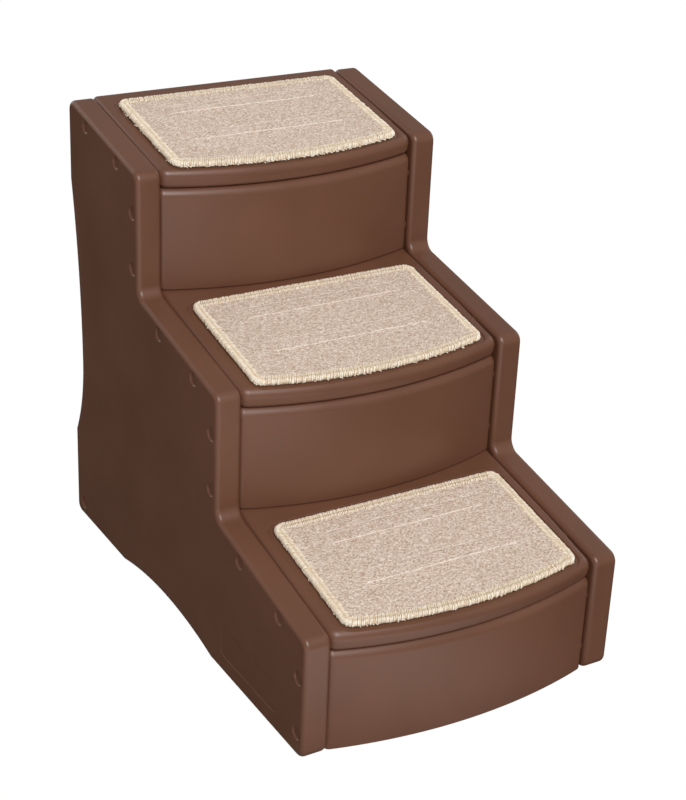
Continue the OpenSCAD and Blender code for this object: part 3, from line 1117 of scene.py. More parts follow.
@dataclass
class Tread(Board):
    """A tread: a bowed, forward-sloping board with a shallow seat for its mat.

    The points of the seat's wall are (growth, height).
    """

    step: Step = Step.TOP
    front_corner: float = 0.0145
    rear_corner: float = 0.006
    rim_fade: float = 0.075
    rim_steps: int = 10
    cone_x_shares: tuple[float, ...] = (-0.36, -0.18, 0.0, 0.18, 0.36)
    cone_y_shares: tuple[float, ...] = (0.22, 0.5, 0.78)
    seat_wall: tuple[Point, ...] = (
        (-0.0010, -0.0035), (-0.0003, -0.0033), (0.0, -0.0028), (0.0002, -0.0022), (0.0006, -0.0018),
        (0.0012, -0.00158), (0.0020, -0.00147), (0.0020, 0.006))

    @property
    def name(self) -> str:
        """Name of the tread's solid."""
        return f"{self.step.label}_tread"

    def blank(self) -> Object:
        """Makes the rounded board.

        Returns:
            The board's object.
        """
        s = self.sizes
        low, reach = -s.tread_drop - s.tread_thickness, s.tread_end(self.step)
        plan = BowedPlan(s.bow_radius, s.tread_bow, s.half_in, reach, self.front_corner, self.rear_corner)
        marks = [self.rim_fade * (stretch + 1) / self.rim_steps for stretch in range(self.rim_steps)]
        piece = made_object(plan.outline(marks).board(low, -s.tread_drop), self.piece_name)
        other = s.tread_edge / s.nose_round
        middle = low + s.tread_thickness / 2

        def share(spot: Vector, along: Vector) -> float:
            """Full rounding on the top of the nose, fading along the sides to that of the other rims.

            Args:
                spot: Middle of an edge.
                along: Direction of the edge.

            Returns:
                The edge's share of the rounding.
            """
            if abs(along.z) > UPRIGHT:
                return 0.0
            if spot.z < middle:
                return other
            return 1.0 + (other - 1.0) * unit((spot.y - plan.corner_y) / self.rim_fade)

        weighted_round(piece, s.nose_round, NOSE_STEPS, share)
        piece.data.transform(s.on_tread(self.step))
        return piece

    def hollows(self) -> BMesh:
        """The seat of the mat and the tack-off cones below.

        Returns:
            One mesh of them all.
        """
        s = self.sizes
        rings = [(mat_plan(s.seat_clear + grow, s).outline(), level) for grow, level in self.seat_wall]
        parts = [loft(rings)]
        depth = s.tread_thickness - s.seat_depth - 2 * s.wall
        for x in self.cone_x_shares:
            for y in self.cone_y_shares:
                spot = (x * 2 * s.half_in, y * s.tread_end(Step.TOP), -s.tread_drop - s.tread_thickness)
                cone = cone_body(*self.cone, depth)
                parts.append(place(cone, Matrix.Translation(spot)))
        return place(joined(parts), s.on_tread(self.step))

    def peg_places(self) -> list[Triple]:
        """Two pegs at each end."""
        return self.sizes.tread_pegs(self.step)


@dataclass
class Riser(Board):
    """A riser: a bowed upright board, hollow behind, that carries the nose of its tread."""

    step: Step = Step.TOP
    front_corner: float = 0.0085
    front_rim: float = 0.010
    fade_lead: float = 0.001
    side_marks: Triple = (0.002, 0.004, 0.006)
    cone_shares: tuple[float, ...] = (-0.27, -0.09, 0.09, 0.27)
    cone: Point = (0.011, 0.006)

    @property
    def name(self) -> str:
        """Name of the riser's solid."""
        return f"{self.step.label}_riser"

    def plan(self) -> Outline:
        """Draws the plan: bowed front, peg-bearing ends and a hollow that follows the bow.

        Returns:
            The outline.
        """
        s = self.sizes
        front = BowedPlan(s.bow_radius, s.bow_centre, s.half_in, s.riser_back, self.front_corner, 0.0)
        inner, back_radius = s.half_in - s.riser_end, s.bow_radius - s.riser_thickness
        back_swing = math.asin(inner / back_radius)

        def hollow_rear(line: Outline, _: int) -> None:
            """Draws the flat backs of the ends and the hollow between them.

            Args:
                line: The outline.
            """
            line.to(s.half_in, s.riser_back).to(inner, s.riser_back)
            line.to(inner, s.bow_centre - back_radius * math.cos(back_swing))
            line.arc((0.0, s.bow_centre), -2 * back_swing, BACK_STEPS)
            line.to(-inner, s.riser_back).to(-s.half_in, s.riser_back)

        return front.outline(self.side_marks, CORNER_STEPS, hollow_rear)

    def level(self, y: float, drop: float, step_below: int = 0) -> float:
        """Height of a plane that runs below the sloping edges of the panels.

        Args:
            y: Distance behind the nose line.
            drop: Distance of the plane below the edges, square to them.
            step_below: 1 for the edges of the step below.

        Returns:
            The height.
        """
        s = self.sizes
        rise = s.nose_z(self.step) - step_below * (s.rise - s.slope * s.run)
        return rise + s.slope * y - drop / math.cos(s.tilt)

    def blank(self) -> Object:
        """Makes the rounded board, cut off under its tread and over the step or floor below.

        Returns:
            The board's object.
        """
        s = self.sizes
        top = self.level(s.riser_back, s.tread_drop) + s.tread_thickness
        mesh = self.plan().board(s.nose_z(self.step) - s.rise - s.bow_proud, top)
        tilted = Vector((0.0, -math.sin(s.tilt), math.cos(s.tilt)))
        self.trim(mesh, self.level(0.0, s.tread_drop + s.tread_thickness), tilted)
        if self.step is Step.BOTTOM:
            self.trim(mesh, s.foot, Vector((0.0, 0.0, -1.0)))
        else:
            self.trim(mesh, self.level(0.0, s.tread_drop, 1), -tilted)
        piece = made_object(mesh, self.piece_name)
        other, half_way = s.riser_edge / self.front_rim, s.nose_z(self.step) - s.rise / 2
        fade = s.riser_front + self.front_corner - self.fade_lead

        def share(spot: Vector, along: Vector) -> float:
            """Full rounding on the upper front rim, less on the other rims.

            Args:
                spot: Middle of an edge.
                along: Direction of the edge.

            Returns:
                The edge's share of the rounding.
            """
            behind = spot.y > s.riser_back - TINY
            if abs(along.z) > UPRIGHT:
                return other if behind else 0.0
            hollow = abs(spot.x) < s.half_in - TINY and spot.y > fade
            if spot.z < half_way or behind or hollow:
                return other
            return 1.0 + (other - 1.0) * unit((spot.y - fade) / (s.riser_back - fade))

        weighted_round(piece, self.front_rim, EDGE_STEPS, share)
        piece.data.transform(Matrix.Translation((0.0, s.nose_y(self.step), 0.0)))
        return piece

    @staticmethod
    def trim(mesh: BMesh, height: float, outward: Vector) -> None:
        """Cuts off and closes a board on one side of a plane.

        Args:
            mesh: The board.
            height: Height of the plane at the nose line.
            outward: Direction of the side that goes.
        """
        cut = bmesh.ops.bisect_plane(
            mesh, geom=[*mesh.verts, *mesh.edges, *mesh.faces], dist=TINY,
            plane_co=(0.0, 0.0, height), plane_no=outward, clear_outer=True)
        bmesh.ops.edgeloop_fill(mesh, edges=edges_of(cut["geom_cut"]))
        bmesh.ops.recalc_face_normals(mesh, faces=mesh.faces[:])

    def hollows(self) -> BMesh:
        """Makes the row of tack-off cones behind.

        Returns:
            One mesh of them all.
        """
        s = self.sizes
        parts = []
        height = s.nose_z(self.step) - sum(s.riser_peg_drops) / 2
        for share in self.cone_shares:
            x = share * 2 * s.half_in
            y = s.bow_centre - math.sqrt((s.bow_radius - s.riser_thickness) ** 2 - x * x)
            spot = Matrix.Translation((x, s.nose_y(self.step) + y, height))
            cone = cone_body(*self.cone, s.riser_thickness - 2 * s.wall)
            parts.append(place(cone, spot @ upright_to("Y", -1)))
        return joined(parts)

    def peg_places(self) -> list[Triple]:
        """Two pegs at each end."""
        return self.sizes.riser_pegs(self.step)


@dataclass
class RearBrace(Board):
    """The low brace between the rear feet."""

    depth: float = 0.026
    height: float = 0.028
    edge: float = 0.006

    @property
    def name(self) -> str:
        """Name of the brace's solid."""
        return "rear_brace"

    def blank(self) -> Object:
        """Makes the rounded bar.

        Returns:
            The bar's object.
        """
        s = self.sizes
        y, z, _ = s.brace_pegs()[0]
        mesh = bmesh.new()
        size = (2 * s.half_in, self.depth, self.height, 1.0)
        bmesh.ops.create_cube(mesh, size=1.0, matrix=Matrix.Diagonal(size))
        bevel(mesh, mesh.edges[:], self.edge, EDGE_STEPS)
        return made_object(place(mesh, Matrix.Translation((0.0, y, z))), self.piece_name)

    def peg_places(self) -> list[Triple]:
        """A peg at each end."""
        return self.sizes.brace_pegs()


# ---- soft goods

def yarns(paths: Iterable[YarnPath], radius: float, name: str) -> Mesh:
    """Spins many short yarns into one mesh.

    Args:
        paths: The points of each yarn, each with its share of the radius.
        radius: Radius of a yarn at its thickest.
        name: Name of the mesh.

    Returns:
        The mesh of closed tubes.
    """
    curve = bpy.data.curves.new(name, "CURVE")
    curve.dimensions, curve.bevel_depth = "3D", radius
    curve.bevel_resolution, curve.use_fill_caps = 1, True
    for path in paths:
        spline = curve.splines.new("POLY")
        spline.points.add(len(path) - 1)
        for point, (spot, share) in zip(spline.points, path):
            point.co, point.radius = (*spot, 1.0), share
    holder = linked(name, curve)
    graph = bpy.context.evaluated_depsgraph_get()
    data = bpy.data.meshes.new_from_object(holder.evaluated_get(graph))
    bpy.data.objects.remove(holder)
    bpy.data.curves.remove(curve)
    return data


def mark(piece: Object, name: str, value: Callable[[Vector], float]) -> None:
    """Stores a value at each point of a piece, for its finish to read."""
    layer = piece.data.attributes.new(name, "FLOAT", "POINT")
    layer.data.foreach_set("value", [value(vert.co) for vert in piece.data.vertices])


@lru_cache(maxsize=None)
def off_path(path: tuple[Point, ...], across: int, up: int) -> float:
    """Distance from a path to a place of a grid with cells of a tenth of a millimetre.

    Args:
        path: The points of the path.
        across: Cells across.
        up: Cells up.

    Returns:
        The least distance.
    """
    here, least = Vector((across * TENTH, up * TENTH, 0.0)), math.inf
    for start, end in zip(path, path[1:]):
        near, share = geometry.intersect_point_line(here, Vector((*start, 0.0)), Vector((*end, 0.0)))
        if not 0.0 <= share <= 1.0:
            near = Vector((*(start if share < 0.0 else end), 0.0))
        least = min(least, (here - near).length)
    return least


def relief(
        columns: int, rows: int, size: Point, height: Callable[[float, float], float], low: float,
        keep: Callable[[float, float], bool] | None = None) -> BMesh:
    """A closed slab whose top follows a height.

    Args:
        columns: Cells along X.
        rows: Cells along Y.
        size: Length along X and along Y, about the origin.
        height: Gives the height of the top at a place.
        low: Height of the flat underside.
        keep: Says which places are part of the slab, all of them by default.

    Returns:
        The slab.
    """
    mesh = bmesh.new()
    bmesh.ops.create_grid(
        mesh, x_segments=columns, y_segments=rows, size=0.5, matrix=Matrix.Diagonal((*size, 1.0, 1.0)))
    if keep is not None:
        waste = [vert for vert in mesh.verts if not keep(vert.co.x, vert.co.y)]
        bmesh.ops.delete(mesh, geom=waste, context="VERTS")
    rim = [edge for edge in mesh.edges if edge.is_boundary]
    for vert in mesh.verts:
        vert.co.z = height(vert.co.x, vert.co.y)
    skirt = bmesh.ops.extrude_edge_only(mesh, edges=rim)["geom"]
    for vert in verts_of(skirt):
        vert.co.z = low
    bmesh.ops.edgeloop_fill(mesh, edges=[
        edge for edge in edges_of(skirt) if all(vert.co.z == edge.verts[0].co.z for vert in edge.verts)
        and len(edge.link_faces) == 1])
    bmesh.ops.recalc_face_normals(mesh, faces=mesh.faces[:])
    return mesh


@dataclass(frozen=True)
class Ripple:
    """A smooth unevenness of the soft pieces.

    Args:
        x_rate: How fast it changes along X.
        y_rate: How fast it changes along Y.
        strength: How strong it is.
        seed: What sets it apart from the others.
    """

    x_rate: float
    y_rate: float
    strength: float
    seed: float = 0.0

    def at(self, x: float, y: float, seed: float) -> float:
        """Its value at a place, with the seed of the piece."""
        return self.strength * noise.noise(Vector((x * self.x_rate, y * self.y_rate, seed + self.seed)))


@dataclass
class Tape:
    """A hook or loop tape, woven, with its hooks or loops on the face that meets the other tape.

    Its own frame is that of its tread.
    """

    step: Step
    end: End
    kind: TapeKind
    sizes: StairSizes = SIZES
    cell: float = 0.0009
    bare_rim: float = 0.0008
    rim_ramp: float = 0.0012
    hook_pitch: float = 0.0018
    loop_rate: float = 900.0
    nap_height: float = 0.0005
    nap_room: float = 0.0006
    off_carrier: float = 0.00002

    @property
    def name(self) -> str:
        """Name of the solid that the tape stands for."""
        return f"{self.step.label}_{self.end.label}_{self.kind.label}_tape"

    def nap(self, x: float, y: float) -> float:
        """Height of the hooks or loops above the weave.

        Args:
            x: Distance from the tape's middle, along it.
            y: Distance from the tape's middle, across it.

        Returns:
            The height.
        """
        s = self.sizes
        edge = min(s.tape_length / 2 - abs(x), s.tape_width / 2 - abs(y))
        border = unit((edge - self.bare_rim) / self.rim_ramp)
        if self.kind is TapeKind.HOOK:
            tuft = max(0.0, math.sin(x * math.pi / self.hook_pitch) * math.sin(y * math.pi / self.hook_pitch))
        else:
            tuft = 0.5 + 0.5 * noise.noise(Vector((x, y, float(self.step.value))) * self.loop_rate)
        return border * tuft * self.nap_height

    def build(self) -> Object:
        """Makes the tape.

        Returns:
            The tape's object.
        """
        s = self.sizes
        if self.kind is TapeKind.HOOK:
            thick, low, turn = s.hook_thickness, -s.seat_floor, Matrix.Identity(4)
            body, slot, finish = BODY, Slot.HOOK, HOOK
        else:
            thick, low, turn = s.loop_thickness, s.pair_top, Matrix.Rotation(math.pi, 4, "X")
            body, slot, finish = self.step.mat, Slot.LOOP, LOOP
        plain = thick - self.nap_room
        mesh = relief(
            round(s.tape_length / self.cell), round(s.tape_width / self.cell), (s.tape_length, s.tape_width),
            lambda x, y: plain + self.nap(x, y), self.off_carrier)
        spot = Matrix.Translation((0.0, s.tape_middle(self.end), low))
        place(mesh, s.on_tread(self.step) @ spot @ turn)
        piece = made_object(mesh, f"{self.name}_strip")
        smooth(piece, weighted=False)
        return settle(piece, body, slot, finish, self.name)


@dataclass(frozen=True)
class Wraps:
    """The yarn wound round a mat's edge, over a core. Pairs give the mean and spread of random values.

    Each point of the path is (distance inside the edge, height).
    """

    seed: int = 71
    pitch: float = 0.0023
    radius: float = 0.00102
    path: tuple[Point, ...] = (
        (0.0110, 0.0027), (0.0099, 0.0035), (0.0086, 0.0037), (0.0072, 0.0030), (0.0060, 0.0024),
        (0.0047, 0.0030), (0.0033, 0.0038), (0.0019, 0.0036), (0.0009, 0.0024), (0.0004, 0.0006),
        (0.0010, -0.0011), (0.0021, -0.0021), (0.0034, -0.0024))
    slant: float = 0.28
    growth: Point = (1.0, 0.05)
    drift: Point = (0.0, 0.0002)
    reach: float = -0.0002
    ragged: Point = (0.0002, 0.0005)
    thickness: Point = (1.0, 0.07)
    tip: float = 0.45
    core_sink: float = 0.0005
    # Where the edging gets golden painted shade: in the hollow between its two ridges (place, width, share)
    # and in the grooves between wraps (width, share).
    valley_inset: float = 0.0062
    valley_width: float = 0.0014
    valley_share: float = 0.6
    groove_width: float = 0.0010
    groove_share: float = 0.75


@dataclass(frozen=True)
class LooseEnds:
    """Ends of yarn that stand out of the wraps, most of them at the front of the upper mats.

    Of the pairs, turn gives a mean and a spread, and the others give a range. The shares of
    thickness are those at the root, the bend and the tip.
    """

    by_step: Triple = (0.12, 0.3, 0.9)
    by_side: Point = (0.3, 0.7)
    pitch_share: float = 0.8
    turn: Point = (0.25, 0.30)
    level: Point = (-0.0020, 0.0010)
    reach: Point = (0.0008, 0.0018)
    front_reach: float = 0.0008
    root: float = 0.0006
    bend: float = 0.55
    bend_lift: float = 0.0001
    tip_drop: Point = (-0.0004, 0.0008)
    thickness: Triple = (0.78, 0.55, 0.08)


@dataclass(frozen=True)
class Seams:
    """The dashes of thread along the edges of a mat's tapes.

    Each row is (place as a share of the tape's width, height, thickness), each pull is (place,
    width, strength) and each point of a dash is (share of its length, height, thickness). Of
    the pairs, drift gives a mean and a spread, and the others give a range.
    """

    seed: int = 171
    rows: tuple[Triple, ...] = ((-0.5, 0.0005, 1.1), (0.5, -0.0001, 0.6))
    pulls: tuple[Triple, ...] = ((-0.5, 0.0011, 0.4), (0.5, 0.0013, 1.0))
    pull_reach: float = 0.001
    sink: float = 0.0008
    dash: Point = (0.0029, 0.0035)
    gap: float = 0.0004
    end_room: float = 0.003
    wander: Ripple = Ripple(28.0, 90.0, 0.0009, 0.5)
    drift: Point = (0.0, 0.0002)
    weight: Point = (0.5, 1.3)
    shape: tuple[Triple, ...] = (
        (0.0, -0.0006, 0.6), (0.25, 0.0001, 1.0), (0.75, 0.0001, 1.0), (1.0, -0.0006, 0.6))
    radius: float = 0.00062


@dataclass
class Mat:
    """A carpet mat: backed cloth with a bulge over each tape, loop pile, an overlocked edge and its tapes.

    Its own frame is that of its tread. The points of the cloth's rims are (distance inside its
    edge, distance from its underside or its top).
    """

    step: Step
    sizes: StairSizes = SIZES
    cloth_inset: float = 0.0014
    cloth_top: float = 0.0012
    cloth_low_rim: tuple[Point, ...] = ((0.0012, 0.0), (0.0004, 0.0003), (0.0, 0.0010))
    cloth_high_rim: tuple[Point, ...] = ((0.0, 0.0009), (0.0005, 0.0002), (0.0013, 0.0))
    pocket_room: float = 0.0008
    pocket_corner: float = 0.002
    pile_inset: float = 0.0078
    pile_cell: Point = (0.0013, 0.0009)
    pile_top: float = 0.0029
    pile_root: float = 0.0006
    pile_rim_drop: float = 0.0008
    pile_rim_ramp: float = 0.002
    pile_seed: float = 10.0
    loop_row: float = 0.0021
    loop_height: float = 0.00012
    row_sway: Ripple = Ripple(60.0, 25.0, 0.35)
    tufts: Ripple = Ripple(320.0, 900.0, 0.00042)
    fuzz: Ripple = Ripple(1100.0, 1300.0, 0.00022, 3.0)
    swell: Ripple = Ripple(22.0, 22.0, 0.0003, 5.0)
    bulge: float = 0.0008
    bulge_ramp: float = 0.0022
    wraps: Wraps = Wraps()
    fray: LooseEnds = LooseEnds()
    seams: Seams = Seams()

    @property
    def plan(self) -> BowedPlan:
        """The mat's plan."""
        return mat_plan(0.0, self.sizes)

    @property
    def body(self) -> str:
        """The body that the mat's pieces ride on."""
        return self.step.mat

    def over_tapes(self, x: float, y: float) -> float:
        """How much of the bulge over the tapes a place gets.

        Args:
            x: Distance from the middle.
            y: Distance behind the nose line.

        Returns:
            The share, from 0 to 1.
        """
        s, most = self.sizes, 0.0
        for end in End:
            edge = min(s.tape_length / 2 - abs(x), s.tape_width / 2 - abs(y - s.tape_middle(end)))
            share = unit(edge / self.bulge_ramp + 0.5)
            most = max(most, share * share * (3.0 - 2.0 * share))
        return most

    def on_seam(self, x: float, y: float) -> float:
        """How much a place is pulled down by the seams that hold the tapes.

        Args:
            x: Distance from the middle.
            y: Distance behind the nose line.

        Returns:
            The share, from 0 to 1.
        """
        s = self.sizes
        if abs(x) > s.tape_length / 2 + self.seams.pull_reach:
            return 0.0
        pulls = []
        for row, width, strength in self.seams.pulls:
            off = min(abs(y - s.tape_middle(end) - row * s.tape_width) for end in End)
            pulls.append(strength * math.exp(-(off / width) ** 2))
        return max(pulls)

    def pocket(self, end: End) -> BMesh:
        """The pocket below the cloth that takes a pair of tapes.

        Args:
            end: Which of the two pairs.

        Returns:
            The pocket's body, in the tread's frame.
        """
        s, room = self.sizes, 2 * self.pocket_room
        low, top = -s.mat_floor - POKE, s.pair_top
        mesh = bmesh.new()
        size = (s.tape_length + room, s.tape_width + room, top - low, 1.0)
        bmesh.ops.create_cube(mesh, size=1.0, matrix=Matrix.Diagonal(size))
        upright = [edge for edge in mesh.edges if abs(edge.verts[0].co.z - edge.verts[1].co.z) > TINY]
        bevel(mesh, upright, self.pocket_corner, EDGE_STEPS // 2)
        return place(mesh, Matrix.Translation((0.0, s.tape_middle(end), (low + top) / 2)))

    def cloth(self) -> Object:
        """Lays the backed cloth in the seat, with a pocket below for each pair of tapes.

        Returns:
            The cloth's object.
        """
        s, inset, label = self.sizes, self.cloth_inset, self.step.label
        rings = [(-inset - back, up - s.mat_floor) for back, up in self.cloth_low_rim]
        rings += [(-inset - back, self.cloth_top - down) for back, down in self.cloth_high_rim]
        flat = mat_plan(-inset, s).outline().board(0.0, POKE)
        area = max(face.calc_area() for face in flat.faces)
        flat.free()
        lofted = loft([(mat_plan(grow, s).outline(), level) for grow, level in rings])
        piece = made_object(lofted, f"{self.body}_cloth")
        carve(piece, joined([self.pocket(end) for end in End]), Carve.CUT)
        piece.data.transform(s.on_tread(self.step))
        smooth(piece)
        settle(piece, self.body, Slot.CARPET, BACKING, self.body)
        f"{self.body}_pile"
        f"{self.body}_edging"
        f"{self.body}_stitching"
        return piece

    def soft_piece(self, mesh: BMesh | Mesh, name: str, finish: "Finish") -> Object:
        """Finishes a piece of pile or yarn.

        Args:
            mesh: Its mesh, in the tread's frame.
            name: What it is called on this mat.
            finish: Its finish.

        Returns:
            The piece's object.
        """
        piece = made_object(mesh, f"{self.body}_{name}")
        # Each point of the edging carries its share of painted shade.
        if finish is EDGING:
            mark(piece, PAINTED_SHADE, self.valley)
        piece.data.transform(self.sizes.on_tread(self.step))
        smooth(piece, SOFT_ANGLE, weighted=False)
        return settle(piece, self.body, Slot.CARPET, finish)

    def pile(self) -> Object:
        """Makes the loop pile inside the edging.

        Returns:
            The pile's object.
        """
        s, seed = self.sizes, self.pile_seed * self.step.value
        front = s.mat_set_back - s.nose_lead
        length, middle = s.mat_rear - front, (s.mat_rear + front) / 2

        def height(x: float, y: float) -> float:
            """Height of the pile's top.

            Args:
                x: Distance from the mat's middle, across the stairs.
                y: Distance from the mat's middle, along the climb.

            Returns:
                The height.
            """
            spot = Vector((x, y + middle))
            row = spot.y / self.loop_row + self.row_sway.at(x, spot.y, seed)
            loops = math.sin(row * math.tau) * self.loop_height
            tufts, fuzz, swell = (
                ripple.at(x, spot.y, seed) for ripple in (self.tufts, self.fuzz, self.swell))
            lift = self.bulge * self.over_tapes(x, spot.y) - self.seams.sink * self.on_seam(x, spot.y)
            edge = unit((self.plan.inset(x, spot.y) - self.pile_inset) / self.pile_rim_ramp)
            return self.pile_top - self.pile_rim_drop * (1.0 - edge) + loops + tufts + fuzz + swell + lift

        mesh = relief(
            round(s.mat_width / self.pile_cell[0]), round(length / self.pile_cell[1]), (s.mat_width, length),
            height, self.cloth_top - self.pile_root,
            lambda x, y: self.plan.inset(x, y + middle) > self.pile_inset)
        place(mesh, Matrix.Translation((0.0, middle, 0.0)))
        return self.soft_piece(mesh, "pile", PILE)

    def stations(self, pitch: float) -> list[tuple[Vector, float]]:
        """Evenly spaced places round the mat's edge.

        Args:
            pitch: Distance from one to the next.

        Returns:
            Each place with the direction of the outward side there.
        """
        plan = self.plan
        inner, high, low = plan.half - plan.corner, plan.rear - plan.corner, plan.corner_y
        arcs = (
            (Vector((0.0, plan.centre)), plan.radius, -QUARTER - plan.swing, -QUARTER + plan.swing),
            (Vector((inner, low)), plan.corner, -QUARTER + plan.swing, 0.0),
            (Vector((inner, high)), plan.corner, 0.0, QUARTER),
            (Vector((-inner, high)), plan.corner, QUARTER, 2 * QUARTER),
            (Vector((-inner, low)), plan.corner, 2 * QUARTER, 3 * QUARTER - plan.swing))
        found: list[tuple[Vector, float]] = []
        left_over = 0.0
        for number, (centre, radius, start, end) in enumerate(arcs):
            travel = left_over
            while travel < radius * (end - start):
                angle = start + travel / radius
                found.append((centre + radius * heading(angle), angle))
                travel += pitch
            left_over = travel - radius * (end - start)
            other, size, begin, _ = arcs[(number + 1) % len(arcs)]
            here, there = centre + radius * heading(end), other + size * heading(begin)
            run, travel = (there - here).length, left_over
            while travel < run:
                found.append((here.lerp(there, travel / run), end))
                travel += pitch
            left_over = travel - run
        return found

    def wrap_paths(self, draw: random.Random) -> list[YarnPath]:
        """Lays the slanting wraps of yarn round the edge.

        Args:
            draw: Source of the random values.

        Returns:
            The path of each wrap.
        """
        wraps, paths = self.wraps, []
        for spot, angle in self.stations(wraps.pitch):
            out = heading(angle)
            along = Vector((-out.y, out.x))
            rough = wraps.ragged[0] + (wraps.ragged[1] - wraps.ragged[0]) * max(0.0, -math.sin(angle))
            grow, lift, slide = draw.gauss(*wraps.growth), draw.gauss(*wraps.drift), draw.gauss(*wraps.drift)
            reach, path = draw.gauss(wraps.reach, rough), []
            for inset, level in wraps.path:
                here = spot - out * (inset * grow - reach) + along * (slide + wraps.slant * inset)
                thick = draw.gauss(*wraps.thickness)
                if (inset, level) in (wraps.path[0], wraps.path[-1]):
                    thick = wraps.tip
                path.append((Vector((*here, level + lift)), thick))
            paths.append(path)
        return paths

    def loose_paths(self, draw: random.Random) -> list[YarnPath]:
        """Lays the loose ends that stand out of the wraps.

        Args:
            draw: Source of the random values.

        Returns:
            The path of each loose end.
        """
        fray, paths = self.fray, []
        for spot, angle in self.stations(self.wraps.pitch * fray.pitch_share):
            front = max(0.0, -math.sin(angle))
            if draw.random() > fray.by_step[self.step.value] * (fray.by_side[0] + fray.by_side[1] * front):
                continue
            out, low = heading(angle + draw.gauss(*fray.turn)), draw.uniform(*fray.level)
            reach = draw.uniform(fray.reach[0], fray.reach[1] + fray.front_reach * front)
            root = spot - heading(angle) * fray.root
            bend, tip = root + out * (reach * fray.bend + fray.root), root + out * (reach + fray.root)
            levels = (low, low + fray.bend_lift, low - draw.uniform(*fray.tip_drop))
            paths.append([
                (Vector((*point, level)), thick)
                for point, level, thick in zip((root, bend, tip), levels, fray.thickness)])
        return paths

    def valley(self, spot: Vector) -> float:
        """How much painted shade a place of the edging gets, from how deep it lies between its two ridges or
        between two wraps.

        Args:
            spot: The place, in the tread's frame.

        Returns:
            The share of painted shade, from 0 on the wraps to 1.
        """
        wraps, inset = self.wraps, self.plan.inset(spot.x, spot.y)
        above = wraps.valley_share if spot.z > 0.0 else 0.0
        between = above * math.exp(-((inset - wraps.valley_inset) / wraps.valley_width) ** 2)
        off = off_path(wraps.path, round(inset / TENTH), round(spot.z / TENTH))
        return max(between, wraps.groove_share * max(0.0, 1.0 - off / wraps.groove_width))

    def edging(self) -> Object:
        """Makes the overlocked edge: wraps of yarn and loose ends round a core.

        Returns:
            The edging's object.
        """
        wraps, draw = self.wraps, random.Random(self.wraps.seed + self.step.value)
        paths = self.wrap_paths(draw) + self.loose_paths(draw)
        mesh = bmesh.new()
        mesh.from_mesh(yarns(paths, wraps.radius, "edging"))
        add_to(mesh, loft([
            (mat_plan(-inset - wraps.core_sink, self.sizes).outline(), level - wraps.core_sink)
            for inset, level in wraps.path], ring_shaped=True))
        return self.soft_piece(mesh, "edging", EDGING)

    def dashes(self, middle: float, row: Triple, draw: random.Random) -> list[YarnPath]:
        """Lays one row of thread along a tape.

        Args:
            middle: Distance of the tape's middle behind the nose line.
            row: The row's place, height and thickness.
            draw: Source of the random values.

        Returns:
            The path of each dash.
        """
        s, seams, paths = self.sizes, self.seams, []
        edge, raised, heavy = row
        line, x = middle + edge * s.tape_width, -s.tape_length / 2
        level = self.pile_top + self.bulge * 0.5 + raised
        while x < s.tape_length / 2 - seams.end_room:
            dash = draw.uniform(*seams.dash)
            y = line + seams.wander.at(x, line, self.step.value)
            drift, weight = draw.gauss(*seams.drift), heavy * draw.uniform(*seams.weight)
            paths.append([
                (Vector((x + share * dash, y + drift, level + up)), thick * weight)
                for share, up, thick in seams.shape])
            x += dash + seams.gap
        return paths

    def stitching(self) -> Object:
        """Makes the dashes of thread that hold the tapes, sunk into the pile.

        Returns:
            The stitching's object.
        """
        draw, paths = random.Random(self.seams.seed + self.step.value), []
        for end in End:
            for row in self.seams.rows:
                paths += self.dashes(self.sizes.tape_middle(end), row, draw)
        return self.soft_piece(yarns(paths, self.seams.radius, "stitching"), "stitching", THREAD)

    def build(self) -> None:
        """Makes the whole mat and the tapes below it."""
        for end in End:
            for kind in TapeKind:
                Tape(self.step, end, kind, self.sizes).build()
        self.pile()
        self.edging()
        self.stitching()
        self.cloth()


# ---- finishes

def solid(colour: Colour) -> Quad:
    """A colour with full opacity."""
    return (*colour, 1.0)


@dataclass
class Graph:
    """Adds and wires nodes in one node tree."""

    tree: NodeTree

    @staticmethod
    def of(owner: Material | World) -> "Graph":
        """Empties the node tree of a material or a world.

        Args:
            owner: The material or the world.

        Returns:
            A graph on its tree.
        """
        owner.use_nodes = True
        owner.node_tree.nodes.clear()
        return Graph(owner.node_tree)

    def feed(self, socket: NodeSocket, value: object) -> None:
        """Links another node's output to an input, or sets the input's own value.

        Args:
            socket: The input.
            value: The output or the value.
        """
        if isinstance(value, NodeSocket):
            self.tree.links.new(value, socket)
        else:
            socket.default_value = value

    def add(self, kind: str, inputs: Mapping[str | int, object] | None = None, **settings: object) -> Node:
        """Adds a node.

        Args:
            kind: Its type, without the common first word.
            inputs: Values, or sockets to link, for its inputs.
            settings: Its own settings.

        Returns:
            The node.
        """
        node = self.tree.nodes.new("ShaderNode" + kind)
        for key, value in settings.items():
            setattr(node, key, value)
        for key, value in (inputs or {}).items():
            self.feed(node.inputs[key], value)
        return node

    def maths(self, operation: str, first: object, second: object) -> NodeSocket:
        """Works out one value from two values or sockets."""
        return self.add("Math", {0: first, 1: second}, operation=operation).outputs[0]

    def spread(self, value: NodeSocket, low: Point, high: Point) -> NodeSocket:
        """Maps a value from the range low[0] to high[0] to the range low[1] to high[1]."""
        span = {"From Min": low[0], "From Max": high[0], "To Min": low[1], "To Max": high[1]}
        return self.add("MapRange", {"Value": value, **span}).outputs[0]

    def blend(self, share: object, first: object, second: object) -> NodeSocket:
        """Mixes two colours.

        Args:
            share: How much of the second colour there is.
            first: The first colour.
            second: The second colour.

        Returns:
            The mixed colour.
        """
        node = self.add("Mix", data_type="RGBA")
        for name, value in (("Factor_Float", share), ("A_Color", first), ("B_Color", second)):
            self.feed(next(item for item in node.inputs if item.identifier == name), value)
        return next(item for item in node.outputs if item.identifier == "Result_Color")

    def bump(self, height: NodeSocket, strength: float, distance: float) -> NodeSocket:
        """Turns a height into a normal."""
        return self.add("Bump", {"Height": height, "Strength": strength, "Distance": distance}).outputs[0]


